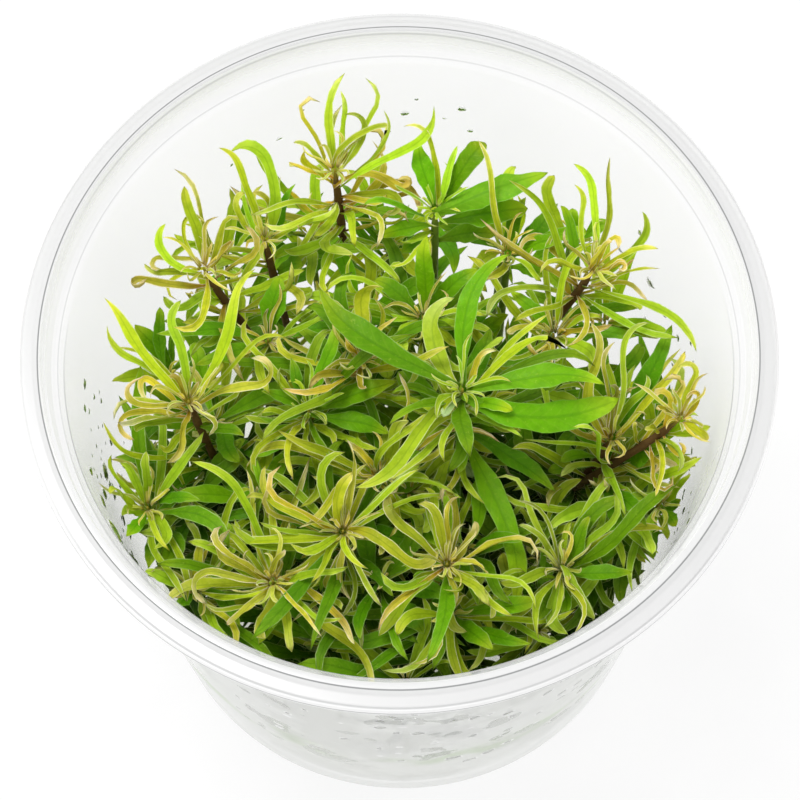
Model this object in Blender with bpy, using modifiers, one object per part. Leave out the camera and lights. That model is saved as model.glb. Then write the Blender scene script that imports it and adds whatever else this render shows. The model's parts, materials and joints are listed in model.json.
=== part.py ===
"""A clear cup of gel with shoots of white Ludwigia inclinata growing in it, without its lid."""

import math
import random
from typing import NamedTuple

import bmesh
import bpy
from mathutils import Vector
from mathutils.bvhtree import BVHTree
from mathutils.geometry import interpolate_bezier

# Every length is in millimetres, and each mesh is made in metres
MM = 0.001
UP = Vector((0, 0, 1))
GAP = 0.3

# The cup
TURN_STEPS = 32
FLANGE_RADIUS = 50.0
FLANGE_HEIGHT = 82.9
FLANGE_EDGE = 0.4
CREST_RADIUS = 47.4
CREST_HEIGHT = 83.3
CREST_WIDTH = 1.0
CREST_SLOPE = 0.7
SKIRT_DEPTH = 2.0
SHOULDER_HEIGHT = 78.6
SHOULDER_RISE = 0.9
LEDGE_WIDTH = 1.6
MOUTH_RADIUS = 44.3
BASE_RADIUS = 35.6
WALL = 0.8
FLOOR_TOP = 1.8
FLOOR_CORNER = 1.2
BASE_RECESS = 0.9
BASE_CORNER = 0.8
FOOT_WIDTH = 3.0
WALL_SLOPE = (MOUTH_RADIUS + WALL - BASE_RADIUS) / SHOULDER_HEIGHT

# The gel, with a pocket for each stem
GEL_TOP = 15.2
GEL_CORNER = 1.3
MENISCUS = 0.7
MENISCUS_WIDTH = 2.5
ROOT_DEPTH = 7.0
POCKET_SIDES = 4
POCKET_RADIUS = 1.55

# Stems: the swollen band of a node carries one whorl of leaves
STEM_SIDES = 5
STEM_RADIUS = 0.75
THIN_STEM_RADIUS = 0.6
STEM_CLEARANCE = 2.0
STEM_POINTS = 24
FOOT_PULL = 0.4
CROWN_PULL = 0.3
NODE_BAND = 1.0
NODE_SWELL = 1.12
CROWN_SWELL = 0.8
TALL_RING_SPACING = 24.0
SMALL_RING_SPACING = 60.0

# Leaves
LEAF_THICKNESS = 0.45
LEAF_STEPS = 20
LONG_LEAF = 14.0
LONG_STATIONS = (7, 14)
SHORT_STATIONS = (10,)
BASE_PULL = 0.4
TIP_PULL = 0.36
FACE_PULL = 0.35
LEVELLING = 0.3
LEAF_CLEARANCE = 0.35
OWN_CLEARANCE = 0.1
WALL_CLEARANCE = 0.6
TOP_CLEARANCE = 1.5
HEIGHT_TRIES = (0, 1.5, -1.5, 3, -3, 4.5, -4.5, 6, -6, 8, -8, 10, -10)
RISE_TRIES = (0, 18, -18, 35)

# Small shoots fill the cup between the tall ones, in a sunflower's spiral
SPIRAL_PLACES = 38
SPIRAL_RADIUS = 32.5
GOLDEN_ANGLE = math.radians(137.508)
SMALL_HEIGHT = 58.0
SMALL_FALL = 0.08
SMALL_LEAN = 1.13
SMALL_DROPS = (0, 4.5)
SMALL_COUNTS = (4, 2)
SMALL_RISE_SHARE = 0.55
REACH_TRIES = (1.0, 0.85, 0.7)
LIFT_TRIES = (0, 12, -12)
TURN_TRIES = (0, 12, -12, 24, -24)

# The tall shoots are laid out as seen from above and in front, on a level plane.
# Each place then moves along its line of sight to its own height.
EYE = Vector((0.1, -192.6, 525.7))
PLAN_LEVEL = 60.0

TONES = {
    "green": (0.13, 0.36, 0.03),
    "lime": (0.38, 0.55, 0.08),
    "olive": (0.45, 0.47, 0.10),
    "tan": (0.50, 0.36, 0.14),
    "pink": (0.66, 0.45, 0.28),
}


class Leaf(NamedTuple):
    """A leaf's whorl, counted down from the crown, its tip, its width and how it bends."""

    whorl: int
    across: float
    back: float
    height: float
    width: float
    tone: str = "olive"
    rise: float = 45
    droop: float = 10
    bend: float = 0


class Shoot(NamedTuple):
    """A stem's foot in the gel, its crown, its whorls' depths below the crown, and its leaves."""

    name: str
    foot: tuple
    crown: tuple
    drops: tuple
    leaves: tuple


TALL_SHOOTS = (
    Shoot("shoot_left_back", (-13, 12), (-27, 22.5, 74), (0, 4, 9, 15), (
        Leaf(0, -30.5, 35, 80, 2.0, "lime", 55, -30),
        Leaf(0, -29.3, 34, 78, 0.9, "olive", 60, -30, 20),
        Leaf(0, -35, 29.5, 76, 1.6, "lime", 30, -20, 25),
        Leaf(0, -35.5, 26, 73, 1.1, "tan", 30, 10),
        Leaf(0, -22.7, 25.5, 76, 1.1, "tan", 70, 60, 40),
        Leaf(1, -40.3, 19.5, 72, 1.4, "tan", 20, 10),
        Leaf(1, -35.5, 21.5, 69, 1.3, "olive", 20, 20),
        Leaf(1, -33, 14.5, 67, 1.6, "lime", 25, 15),
        Leaf(2, -25, 9, 66, 1.7, "lime", 30, 20),
        Leaf(2, -12.5, 21, 67, 1.5, "lime", 30, 10),
    )),
    Shoot("shoot_back_left", (-14, 17), (-18.5, 27, 70), (0, 3, 9), (
        Leaf(0, -23.3, 42.5, 79, 1.4, "lime", 60, -20),
        Leaf(0, -25, 33, 75, 1.3, "olive", 45, 0),
        Leaf(0, -21, 45, 78, 2.2, "lime", 65, 10, -25),
        Leaf(1, -14.3, 35.5, 72, 1.5, "green", 50, 0),
        Leaf(1, -16, 35.5, 74, 1.1, "olive", 60, -10),
        Leaf(1, -24.5, 25.5, 67, 1.2, "olive", 30, 20),
        Leaf(2, -13, 23, 63, 3.2, "green", 30, 10),
    )),
    Shoot("shoot_back_green", (5, 20), (5.5, 31, 70), (0, 3, 8), (
        Leaf(0, 13, 41, 75, 3.2, "green", 60, 50),
        Leaf(0, 2.5, 41.5, 75, 2.8, "green", 70, -10),
        Leaf(0, 8.2, 41, 76, 1.3, "lime", 70, -10),
        Leaf(0, 21.5, 36, 73, 3.8, "green", 35, 15),
        Leaf(1, 18.5, 30, 68, 3.8, "green", 25, 25),
        Leaf(1, 2.7, 46, 77, 0.9, "olive", 60, 20, -30),
        Leaf(1, -2.5, 27, 65, 2.4, "green", 30, 20),
        Leaf(2, 14, 27, 63, 3.0, "green", 20, 20),
        Leaf(2, 0.5, 24.5, 62, 2.2, "green", 30, 20),
    )),
    Shoot("shoot_back_centre", (-6, 22), (-8.5, 37.5, 74), (0, 3, 7, 12), (
        Leaf(0, -5, 50, 80.5, 1.2, "olive", 65, -30),
        Leaf(0, -2.6, 48, 80, 1.1, "olive", 60, -30),
        Leaf(0, 2.4, 47.3, 79, 1.1, "olive", 55, 10),
        Leaf(0, -13.8, 42, 76, 1.1, "olive", 65, 45),
        Leaf(1, 2.2, 44.5, 76, 1.0, "olive", 50, 25),
        Leaf(1, -15.5, 39, 74, 1.4, "olive", 45, 10),
        Leaf(1, -16.5, 38.5, 71, 1.0, "tan", 20, 0),
        Leaf(1, 10.3, 43, 77, 1.7, "lime", 25, 15, 15),
        Leaf(1, 5, 32.5, 70, 1.7, "tan", 45, 45, 35),
        Leaf(2, -13, 31, 69, 1.2, "pink", 30, 30),
        Leaf(2, 6.5, 35.5, 71, 1.8, "tan", 15, 0),
        Leaf(2, 3.3, 31.5, 68, 1.6, "olive", 25, 30),
        Leaf(3, -20, 40, 75, 1.5, "lime", 10, -40, 20),
        Leaf(3, 3, 29, 66, 0.9, "olive", 25, 0),
        Leaf(3, -10.5, 20.5, 69, 2.0, "olive", 40, 10),
        Leaf(3, -16, 23.5, 65, 1.8, "lime", 30, 10),
    )),
    Shoot("shoot_back_right", (14, 18), (15.5, 24, 67), (0, 4), (
        Leaf(0, 12, 42, 78, 1.0, "olive", 70, -20, 15),
        Leaf(0, 23, 25, 71, 2.3, "green", 45, 20, 25),
        Leaf(1, 17.5, 33, 68, 2.2, "green", 50, 10),
        Leaf(1, 21, 20.5, 62, 2.2, "green", 30, 20),
        Leaf(1, 11, 21.5, 64, 1.7, "lime", 30, 20),
    )),
    Shoot("shoot_right_back", (13, 13), (27.5, 21.5, 74), (0, 4, 8, 14), (
        Leaf(0, 27.8, 39.5, 80.5, 1.5, "lime", 60, -35),
        Leaf(0, 26.5, 35, 78, 1.0, "lime", 65, -20, 15),
        Leaf(0, 36.3, 25.5, 76, 1.2, "olive", 30, 0),
        Leaf(0, 33, 21.8, 74, 1.1, "tan", 30, 10),
        Leaf(0, 30, 26, 77, 1.3, "tan", 50, 0),
        Leaf(1, 28.8, 38.5, 76, 1.1, "olive", 40, -20, -30),
        Leaf(1, 23, 31, 73, 1.4, "green", 50, 40, -25),
        Leaf(1, 36, 30, 76, 1.4, "lime", 10, -50, -35),
        Leaf(1, 34, 20.8, 71, 0.9, "pink", 30, 10),
        Leaf(1, 42.5, 9, 71, 1.5, "lime", 30, 30, 20),
        Leaf(2, 17.8, 38.3, 76, 1.3, "lime", 60, -20),
        Leaf(2, 19, 29.5, 73, 1.5, "tan", 50, 30),
        Leaf(2, 35, 14.5, 68, 1.8, "lime", 20, 20, 20),
        Leaf(2, 10.5, 16.5, 68, 1.2, "olive", 40, 20, -20),
        Leaf(3, 34.5, 15, 63, 1.8, "green", 15, 5),
        Leaf(3, 15, 9.5, 66, 1.5, "pink", 50, 50, -25),
    )),
    Shoot("shoot_right", (11, -9), (38.5, -1.5, 71), (0, 4, 9, 15, 21), (
        Leaf(0, 42.6, -5, 70, 1.5, "olive", 80, 75, 60),
        Leaf(0, 43, 4.5, 75, 1.0, "pink", 60, -20),
        Leaf(0, 41.5, 8.5, 74, 1.4, "olive", 55, -20),
        Leaf(0, 34, 0.5, 73, 1.1, "tan", 50, 30),
        Leaf(1, 44, -3.5, 74, 1.5, "lime", 20, -20),
        Leaf(1, 39, -8.5, 68, 1.3, "tan", 30, 10),
        Leaf(1, 33.5, -3, 70, 1.2, "olive", 40, 20),
        Leaf(2, 36.5, -10.5, 66, 1.2, "pink", 30, 20),
        Leaf(2, 31.5, -2, 68, 1.3, "olive", 50, 10),
        Leaf(3, 42.5, -8, 70, 1.8, "lime", 10, -20, -25),
        Leaf(3, 36, -5.8, 62, 3.8, "green", 15, 5),
        Leaf(3, 23.5, -3.5, 68, 1.6, "lime", 60, 0),
        Leaf(4, 33.5, -17, 61, 2.4, "green", 20, 10),
        Leaf(4, 15, -4, 62, 1.8, "lime", 30, 20),
    )),
    Shoot("shoot_right_inner", (22, -4), (29, -4, 65), (0, 4), (
        Leaf(0, 32.3, 15.7, 77, 1.1, "olive", 70, -40),
        Leaf(0, 29.7, 10.5, 74, 1.0, "tan", 70, -40),
        Leaf(0, 40, 8, 75, 1.5, "olive", 50, -20),
        Leaf(0, 30.3, 12.8, 73, 1.8, "olive", 50, -20, 40),
        Leaf(1, 38.5, 12.3, 70, 2.6, "green", 35, -10),
        Leaf(1, 36.5, 3.5, 68, 1.5, "lime", 40, 20),
        Leaf(1, 20.5, -0.5, 66, 2.0, "green", 30, 20),
    )),
    Shoot("shoot_left", (-23, -3), (-29, 2.5, 72), (0, 3, 7, 13, 19), (
        Leaf(0, -40.3, 18.5, 77, 1.9, "lime", 45, -10),
        Leaf(0, -34, 17, 76, 1.7, "lime", 60, 20, -15),
        Leaf(0, -41, 3.3, 74, 1.2, "pink", 35, 20),
        Leaf(0, -20.3, 22.5, 79, 2.0, "lime", 60, -20),
        Leaf(0, -22, 10, 76, 1.1, "pink", 55, 20, -15),
        Leaf(1, -41.3, 13.5, 73, 1.3, "lime", 30, -30),
        Leaf(1, -37, 11, 72, 1.4, "pink", 55, 0),
        Leaf(1, -42, 1.8, 71, 1.4, "tan", 15, -20),
        Leaf(1, -13.5, 7.5, 74, 1.7, "pink", 40, 10),
        Leaf(2, -38.5, -1, 67, 1.6, "lime", 30, 0),
        Leaf(2, -33, -6, 66, 1.4, "lime", 30, 20),
        Leaf(2, -21, -2.5, 67, 1.7, "green", 30, 20),
        Leaf(3, -42.8, -5, 71, 1.5, "lime", 5, -30, 25),
        Leaf(3, -39, -6.5, 62, 1.9, "green", 20, 10),
        Leaf(4, -34, -13, 57, 1.8, "green", 25, 10),
    )),
    Shoot("shoot_centre_broad", (8, -5), (8.7, 3.5, 75), (0, 2.5, 13), (
        Leaf(0, 16, 23.5, 80, 2.5, "green", 45, 10, 45),
        Leaf(0, -11.7, 18.5, 79, 3.5, "green", 30, 0, 20),
        Leaf(0, 28.5, 4.5, 77, 3.4, "green", 30, 10, 10),
        Leaf(0, 30, 2, 73, 4.6, "green", 10, -10, -30),
        Leaf(0, -3.3, -14, 72, 2.0, "lime", 30, 20),
        Leaf(1, 6.8, 18.5, 76, 2.7, "olive", 30, -30, 50),
        Leaf(1, 15.5, 0, 76, 2.1, "green", 30, 20),
        Leaf(1, 11.2, 11.3, 79, 1.1, "pink", 60, -20),
        Leaf(1, 14, 12, 77, 1.2, "lime", 45, 10),
        Leaf(2, 16.5, -29, 57, 3.3, "green", 10, 30, 15),
        Leaf(2, 21, -12, 60, 2.6, "green", 20, 20),
        Leaf(2, 4, -14, 60, 1.7, "lime", 30, 10),
    )),
    Shoot("shoot_near_centre", (-7.5, -18), (-8, -17, 68), (0, 2.5, 10), (
        Leaf(0, -8.5, -8, 74, 1.9, "olive", 70, -30),
        Leaf(0, -22.5, -10.5, 69, 1.5, "olive", 30, 20),
        Leaf(0, -24.5, -19.5, 66, 1.6, "lime", 25, 15),
        Leaf(0, -9.5, -27.3, 67, 1.1, "pink", 40, 20),
        Leaf(0, 5, -24.7, 66, 1.8, "olive", 35, 25),
        Leaf(1, -15.2, -25, 65, 1.8, "olive", 30, 20),
        Leaf(1, -0.8, -19, 67, 1.2, "olive", 40, 20),
        Leaf(1, -19, -7, 67, 1.3, "lime", 30, 10),
        Leaf(1, -12.2, -26.5, 64, 1.1, "pink", 25, 10),
        Leaf(2, -1, -26.5, 58, 1.8, "green", 25, 10),
        Leaf(2, -17, -20, 57, 1.8, "green", 25, 10),
    )),
    Shoot("shoot_near_left", (-16, -22), (-17.5, -24, 66), (0, 2.5, 9), (
        Leaf(0, -32, -22, 68, 1.1, "pink", 30, 10),
        Leaf(0, -24, -30.5, 64, 1.1, "pink", 30, 10),
        Leaf(0, -20, -33, 63, 1.9, "olive", 40, 20),
        Leaf(0, -4, -32, 64, 1.2, "pink", 30, 15),
        Leaf(0, -15.5, -20, 69, 1.0, "pink", 60, 40),
        Leaf(1, -33, -24.5, 64, 1.8, "olive", 20, 5),
        Leaf(1, -25.2, -3.5, 73, 1.2, "lime", 45, -30),
        Leaf(1, -0.5, -37, 61, 1.6, "olive", 20, 5),
        Leaf(2, -24, -27, 55, 1.8, "lime", 25, 10),
        Leaf(2, -11, -33, 56, 1.8, "green", 25, 10),
    )),
    Shoot("shoot_near_right", (7, -21), (6, -22, 67), (0, 2.5, 9), (
        Leaf(0, 5.5, -11, 73, 1.0, "pink", 70, -20),
        Leaf(0, -4, -13.7, 69, 1.6, "olive", 30, 10),
        Leaf(0, 12, -23, 68, 1.1, "tan", 40, 30),
        Leaf(0, 14.5, -29.5, 64, 1.6, "olive", 30, 10),
        Leaf(0, 8.8, -27.5, 66, 1.1, "pink", 35, 10),
        Leaf(1, 7.2, -33, 62, 1.6, "olive", 25, 10),
        Leaf(1, 11, -16.5, 68, 1.3, "tan", 40, 10),
        Leaf(1, -4, -31.5, 61, 2.2, "lime", 20, 10),
        Leaf(2, 13, -33, 56, 1.8, "lime", 25, 10),
        Leaf(2, 3, -34, 56, 2.0, "green", 25, 10),
    )),
    Shoot("shoot_centre_left", (-12, -5), (-12.5, 1, 67), (0, 4), (
        Leaf(0, -7.7, 13.5, 74, 2.1, "green", 55, -10),
        Leaf(0, 0, 4.5, 70, 3.2, "green", 25, 10),
        Leaf(0, -1, -2, 66, 2.6, "green", 20, 10),
        Leaf(0, -19, 4, 68, 1.7, "green", 30, 10),
        Leaf(0, -14.5, 9, 71, 1.5, "green", 50, 0),
        Leaf(1, -20, -6.5, 61, 2.4, "green", 25, 10),
        Leaf(1, -7, -9, 60, 1.8, "green", 25, 10),
    )),
    Shoot("shoot_centre_back", (3, 8), (3.5, 14.5, 66), (0, 4), (
        Leaf(0, 3.7, 27, 74, 2.6, "green", 55, -20),
        Leaf(0, -1.5, 8, 70, 1.9, "lime", 45, 20),
        Leaf(0, 9, 12, 70, 1.7, "lime", 40, 20),
        Leaf(0, -3, 21, 68, 2.6, "green", 40, 10),
        Leaf(1, 13.7, 12.8, 64, 1.6, "lime", 25, 20),
        Leaf(1, 11, 22, 64, 2.6, "green", 30, 20),
    )),
    Shoot("shoot_centre_tan", (-6, 4), (-5, 8, 71), (0, 5), (
        Leaf(0, -8.3, 11.5, 73, 1.1, "tan", 50, 10),
        Leaf(0, -11.5, 5, 72, 1.2, "tan", 50, 40),
        Leaf(0, -5.5, 2.5, 72, 1.2, "tan", 50, 40),
        Leaf(0, -6.3, 22.5, 78, 2.3, "olive", 55, -30),
        Leaf(1, -2, 10, 68, 1.6, "lime", 40, 20),
        Leaf(1, -14, 13.5, 66, 2.2, "green", 30, 10),
    )),
    Shoot("shoot_centre_olive", (-2.5, -11), (-3, -9, 66), (0, 4), (
        Leaf(0, 0.5, 1.3, 73, 1.9, "olive", 65, -30),
        Leaf(0, 3.2, 0.5, 72, 1.2, "lime", 60, -20),
        Leaf(0, -6, -2.5, 71, 1.1, "pink", 65, -20),
        Leaf(0, -22, -1.5, 69, 1.6, "olive", 30, 10),
        Leaf(0, 4, -9, 67, 1.4, "lime", 40, 30),
        Leaf(1, -18, -5.5, 64, 1.5, "lime", 25, 10),
        Leaf(1, 4, -17, 62, 1.7, "lime", 30, 15),
    )),
    Shoot("shoot_left_green", (-19, 6), (-18, 11.5, 64), (0, 4), (
        Leaf(0, -33.5, 12.5, 68, 2.1, "green", 25, 10),
        Leaf(0, -28, 7.5, 66, 2.2, "green", 25, 10),
        Leaf(0, -7, 13, 67, 2.2, "green", 25, 10),
        Leaf(0, -16, 21, 67, 3.2, "green", 35, 10),
        Leaf(1, -27, 15, 61, 2.4, "green", 30, 15),
        Leaf(1, -10, 7, 60, 2.0, "green", 30, 15),
    )),
    Shoot("shoot_right_green", (20, 6), (21.5, 11.5, 65), (0, 4), (
        Leaf(0, 28.5, 6.5, 68, 1.9, "lime", 40, 20),
        Leaf(0, 21.5, 6.5, 69, 1.3, "tan", 60, 30),
        Leaf(0, 33, 11, 67, 2.0, "green", 30, 10),
        Leaf(0, 15.5, 18, 67, 1.8, "green", 40, 10),
        Leaf(1, 27.5, 17, 62, 2.0, "green", 30, 15),
        Leaf(1, 12, 7, 61, 2.0, "green", 30, 15),
    )),
    Shoot("shoot_near_far_right", (20, -19), (21.5, -23, 60), (0, 4), (
        Leaf(0, 19.3, -34, 60, 1.6, "lime", 35, 20),
        Leaf(0, 13, -26, 62, 1.5, "lime", 35, 15),
        Leaf(0, 31, -24, 61, 2.2, "green", 30, 15),
        Leaf(0, 25.5, -15.5, 64, 1.9, "green", 35, 10),
        Leaf(0, 25, -31, 59, 1.6, "lime", 35, 15),
        Leaf(1, 12, -33, 56, 1.7, "olive", 25, 10),
        Leaf(1, 30, -19.5, 56, 2.4, "green", 25, 10),
    )),
    Shoot("shoot_wall_left", (-30, -10), (-34.5, -13, 60), (0, 4), (
        Leaf(0, -40.5, -10, 67, 1.7, "lime", 50, -20),
        Leaf(0, -38, -18, 62, 2.0, "green", 30, 10),
        Leaf(0, -31, -20, 62, 1.6, "lime", 35, 15),
        Leaf(0, -27, -12, 65, 1.7, "green", 40, 15),
        Leaf(0, -34, -5, 66, 1.5, "lime", 45, 0),
        Leaf(1, -40, -14, 57, 1.8, "lime", 25, 10),
        Leaf(1, -34, -22, 56, 1.9, "green", 25, 10),
    )),
    Shoot("shoot_near_far_left", (-24, -20.5), (-28, -25, 58), (0, 4), (
        Leaf(0, -35.5, -22.5, 62, 1.6, "lime", 40, 0),
        Leaf(0, -32.5, -29, 58, 1.8, "green", 30, 10),
        Leaf(0, -26.5, -34, 57, 1.6, "lime", 30, 10),
        Leaf(0, -21, -30, 60, 1.8, "green", 35, 15),
        Leaf(0, -27, -18, 63, 1.4, "olive", 50, 0),
        Leaf(1, -19, -35, 54, 1.7, "green", 25, 10),
    )),
    Shoot("shoot_wall_right", (30, -9), (35, -14, 57), (0, 4), (
        Leaf(0, 40.5, -11, 63, 1.6, "lime", 50, -10),
        Leaf(0, 39.5, -18.5, 59, 2.0, "green", 30, 10),
        Leaf(0, 32, -21.5, 60, 1.7, "lime", 35, 15),
        Leaf(0, 27.5, -13.5, 62, 2.2, "green", 35, 15),
        Leaf(1, 40, -14, 53, 1.8, "green", 25, 10),
        Leaf(1, 33, -22, 54, 2.0, "green", 25, 10),
    )),
)


def clear_scene():
    for obj in list(bpy.data.objects):
        bpy.data.objects.remove(obj, do_unlink=True)


def new_collection(name, helper=False):
    collection = bpy.data.collections.new(name)
    collection.hide_render = helper
    bpy.context.scene.collection.children.link(collection)
    return collection


def new_material(name, colour, roughness, transmission=0.0, alpha=1.0):
    material = bpy.data.materials.new(name)
    material.use_nodes = True
    shader = material.node_tree.nodes["Principled BSDF"]
    shader.inputs["Base Color"].default_value = (*colour, 1)
    shader.inputs["Roughness"].default_value = roughness
    shader.inputs["Metallic"].default_value = 0.0
    shader.inputs["Transmission Weight"].default_value = transmission
    shader.inputs["Alpha"].default_value = alpha
    material.diffuse_color = (*colour, alpha)
    return material


def place_mesh(bm, name, collection, material):
    """Scales the mesh to metres and puts it in the scene as one object."""
    bmesh.ops.scale(bm, vec=(MM, MM, MM), verts=bm.verts)
    mesh = bpy.data.meshes.new(name)
    bm.to_mesh(mesh)
    bm.free()
    mesh.materials.append(material)
    obj = bpy.data.objects.new(name, mesh)
    collection.objects.link(obj)
    return obj


def turned(name, profile, collection, material):
    """A Screw of an open profile that starts and ends on the axis."""
    bm = bmesh.new()
    points = [bm.verts.new((radius, 0, height)) for radius, height in profile]
    for lower, upper in zip(points, points[1:]):
        bm.edges.new((lower, upper))
    obj = place_mesh(bm, name, collection, material)
    screw = obj.modifiers.new("turn", "SCREW")
    screw.axis = "Z"
    screw.steps = screw.render_steps = TURN_STEPS
    screw.use_merge_vertices = True
    screw.merge_threshold = 0.00001
    return obj


def outer_radius(height):
    return BASE_RADIUS + WALL_SLOPE * height


def inner_radius(height):
    return outer_radius(height) - WALL


def cup_profile():
    """Radius and height from the floor's middle, up the inside, over the rim and down the outside."""
    ledge = MOUTH_RADIUS + LEDGE_WIDTH
    rim_under = FLANGE_HEIGHT - WALL
    foot = BASE_RADIUS - BASE_CORNER
    return (
        (0, FLOOR_TOP),
        (inner_radius(FLOOR_TOP) - FLOOR_CORNER, FLOOR_TOP),
        (inner_radius(FLOOR_TOP + FLOOR_CORNER), FLOOR_TOP + FLOOR_CORNER),
        (MOUTH_RADIUS, SHOULDER_HEIGHT),
        (ledge, SHOULDER_HEIGHT + SHOULDER_RISE),
        (CREST_RADIUS - CREST_WIDTH, CREST_HEIGHT),
        (CREST_RADIUS, CREST_HEIGHT),
        (CREST_RADIUS + CREST_SLOPE, FLANGE_HEIGHT),
        (FLANGE_RADIUS - FLANGE_EDGE, FLANGE_HEIGHT),
        (FLANGE_RADIUS, FLANGE_HEIGHT - FLANGE_EDGE),
        (FLANGE_RADIUS, FLANGE_HEIGHT - SKIRT_DEPTH),
        (FLANGE_RADIUS - WALL, FLANGE_HEIGHT - SKIRT_DEPTH),
        (FLANGE_RADIUS - WALL, rim_under),
        (CREST_RADIUS, rim_under),
        (ledge + WALL, SHOULDER_HEIGHT),
        (MOUTH_RADIUS + WALL, SHOULDER_HEIGHT - WALL),
        (outer_radius(FLOOR_CORNER), FLOOR_CORNER),
        (foot, 0),
        (foot - FOOT_WIDTH, 0),
        (foot - FOOT_WIDTH - BASE_RECESS / 2, BASE_RECESS),
        (0, BASE_RECESS),
    )


def gel_profile():
    """Radius and height from the middle of the gel's top, over its raised edge to its underside."""
    top = GEL_TOP + MENISCUS
    bottom = FLOOR_TOP + GAP
    shoulder = bottom + GEL_CORNER
    return (
        (0, GEL_TOP),
        (inner_radius(top) - GAP - MENISCUS_WIDTH, GEL_TOP),
        (inner_radius(top) - GAP, top),
        (inner_radius(shoulder) - GAP, shoulder),
        (inner_radius(bottom) - GAP - GEL_CORNER, bottom),
        (0, bottom),
    )


def cut_pockets(gel, grown, cutters):
    """Cuts a straight pocket in the gel round each stem's foot."""
    bm = bmesh.new()
    depth = ROOT_DEPTH + GAP
    for stem in grown:
        hole = bmesh.ops.create_cone(
            bm,
            cap_ends=True,
            segments=POCKET_SIDES,
            radius1=POCKET_RADIUS,
            radius2=POCKET_RADIUS,
            depth=2 * depth,
        )
        bmesh.ops.translate(bm, vec=(*stem.foot, GEL_TOP), verts=hole["verts"])
    cutter = place_mesh(bm, "pocket_cutter", cutters, None)
    cutter.hide_render = True
    cutter.display_type = "WIRE"
    cut = gel.modifiers.new("stem pockets", "BOOLEAN")
    cut.operation = "DIFFERENCE"
    cut.object = cutter


def along_sight(across, back, height):
    """Moves a place seen on the plan level along its line of sight to its own height."""
    share = (EYE.z - height) / (EYE.z - PLAN_LEVEL)
    return Vector((EYE.x + (across - EYE.x) * share, EYE.y + (back - EYE.y) * share, height))


def inside_cup(point, clearance):
    """The point, moved towards the cup's axis where it would be too near the wall."""
    reach = inner_radius(point.z) - clearance
    flat = Vector((point.x, point.y, 0))
    if flat.length > reach:
        flat *= reach / flat.length
    return Vector((flat.x, flat.y, min(point.z, CREST_HEIGHT - TOP_CLEARANCE)))


def heading(azimuth, lift):
    """A unit direction from two angles in degrees: round from +X, and up from level."""
    flat = math.cos(math.radians(lift))
    turn = math.radians(azimuth)
    return Vector((flat * math.cos(turn), flat * math.sin(turn), math.sin(math.radians(lift))))


class Stem:
    """One shoot's stem: its bent path, its rings and the free faces of its whorls."""

    def __init__(self, name, foot, crown, drops, radius, spacing):
        self.name = name
        self.foot = foot
        self.drops = drops
        self.radius = radius
        self.spacing = spacing
        self.leaves = []
        self.taken = set()
        start = Vector((*foot, GEL_TOP))
        lean = crown - start
        first_pull = start + UP * FOOT_PULL * lean.length
        last_pull = crown - lean * CROWN_PULL
        self.path = interpolate_bezier(start, first_pull, last_pull, crown, STEM_POINTS)

    def below_crown(self, distance):
        """The point and the direction of the stem at a distance down from its crown."""
        for upper, lower in zip(self.path[::-1], self.path[-2::-1]):
            step = (upper - lower).length
            if distance <= step:
                return upper.lerp(lower, distance / step), (upper - lower).normalized()
            distance -= step
        return self.path[0].copy(), UP.copy()

    def length(self):
        return sum((b - a).length for a, b in zip(self.path, self.path[1:]))

    def ring(self, distance, turn, swell=1.0):
        """The corners of the stem's cross-section at a distance below the crown."""
        centre, axis = self.below_crown(distance)
        return self.corners(centre, axis, turn, self.radius * swell)

    def corners(self, centre, axis, turn, radius):
        tilt = UP.rotation_difference(axis)
        angles = [turn + side * math.tau / STEM_SIDES for side in range(STEM_SIDES)]
        return [centre + tilt @ Vector((math.cos(a), math.sin(a), 0)) * radius for a in angles]

    def whorl_turn(self, whorl):
        """Each whorl's faces stand between those of the next one, and each stem has its own start."""
        return whorl * math.pi / STEM_SIDES + self.foot[0]

    def band(self, whorl):
        """The lower and the upper ring of a whorl's band."""
        turn = self.whorl_turn(whorl)
        below = self.ring(self.drops[whorl] + NODE_BAND, turn, NODE_SWELL)
        above = self.ring(self.drops[whorl], turn, NODE_SWELL if whorl else CROWN_SWELL)
        return below, above

    def rings(self):
        """All rings from the foot up, each with the number of the whorl that ends there, or None."""
        turn = self.whorl_turn(len(self.drops) - 1)
        found = []
        for height in (GEL_TOP - ROOT_DEPTH, GEL_TOP + GAP):
            centre = Vector((*self.foot, height))
            found.append((self.corners(centre, UP, turn, self.radius), None))
        lowest = self.drops[-1] + NODE_BAND
        bare = self.length() - lowest
        count = int(bare / self.spacing)
        for step in range(count, 0, -1):
            found.append((self.ring(lowest + bare * step / (count + 1), turn), None))
        for whorl in range(len(self.drops) - 1, -1, -1):
            below, above = self.band(whorl)
            found.append((below, None))
            found.append((above, whorl))
        return found

    def face(self, whorl, side):
        """The middle, outward direction, side direction and axis of one face of a whorl's band."""
        below, above = self.band(whorl)
        following = (side + 1) % STEM_SIDES
        middle = (below[side] + below[following] + above[side] + above[following]) / 4
        along = (below[following] - below[side]).normalized()
        axis = ((above[side] + above[following]) - (below[side] + below[following])).normalized()
        return middle, along.cross(axis).normalized(), along, axis

    def free_face(self, whorl, tip):
        """The free face of this whorl, or of the next that has one, that looks most towards the tip."""
        for level in range(whorl, len(self.drops)):
            free = [side for side in range(STEM_SIDES) if (level, side) not in self.taken]
            if free:
                return level, max(free, key=lambda side: self.facing(level, side, tip))
        return None

    def facing(self, whorl, side, tip):
        """How squarely a face looks towards a leaf's tip, seen from above."""
        middle, outward, _, _ = self.face(whorl, side)
        flat = Vector((tip.x - middle.x, tip.y - middle.y, 0)).normalized()
        return outward.dot(flat)


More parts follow.
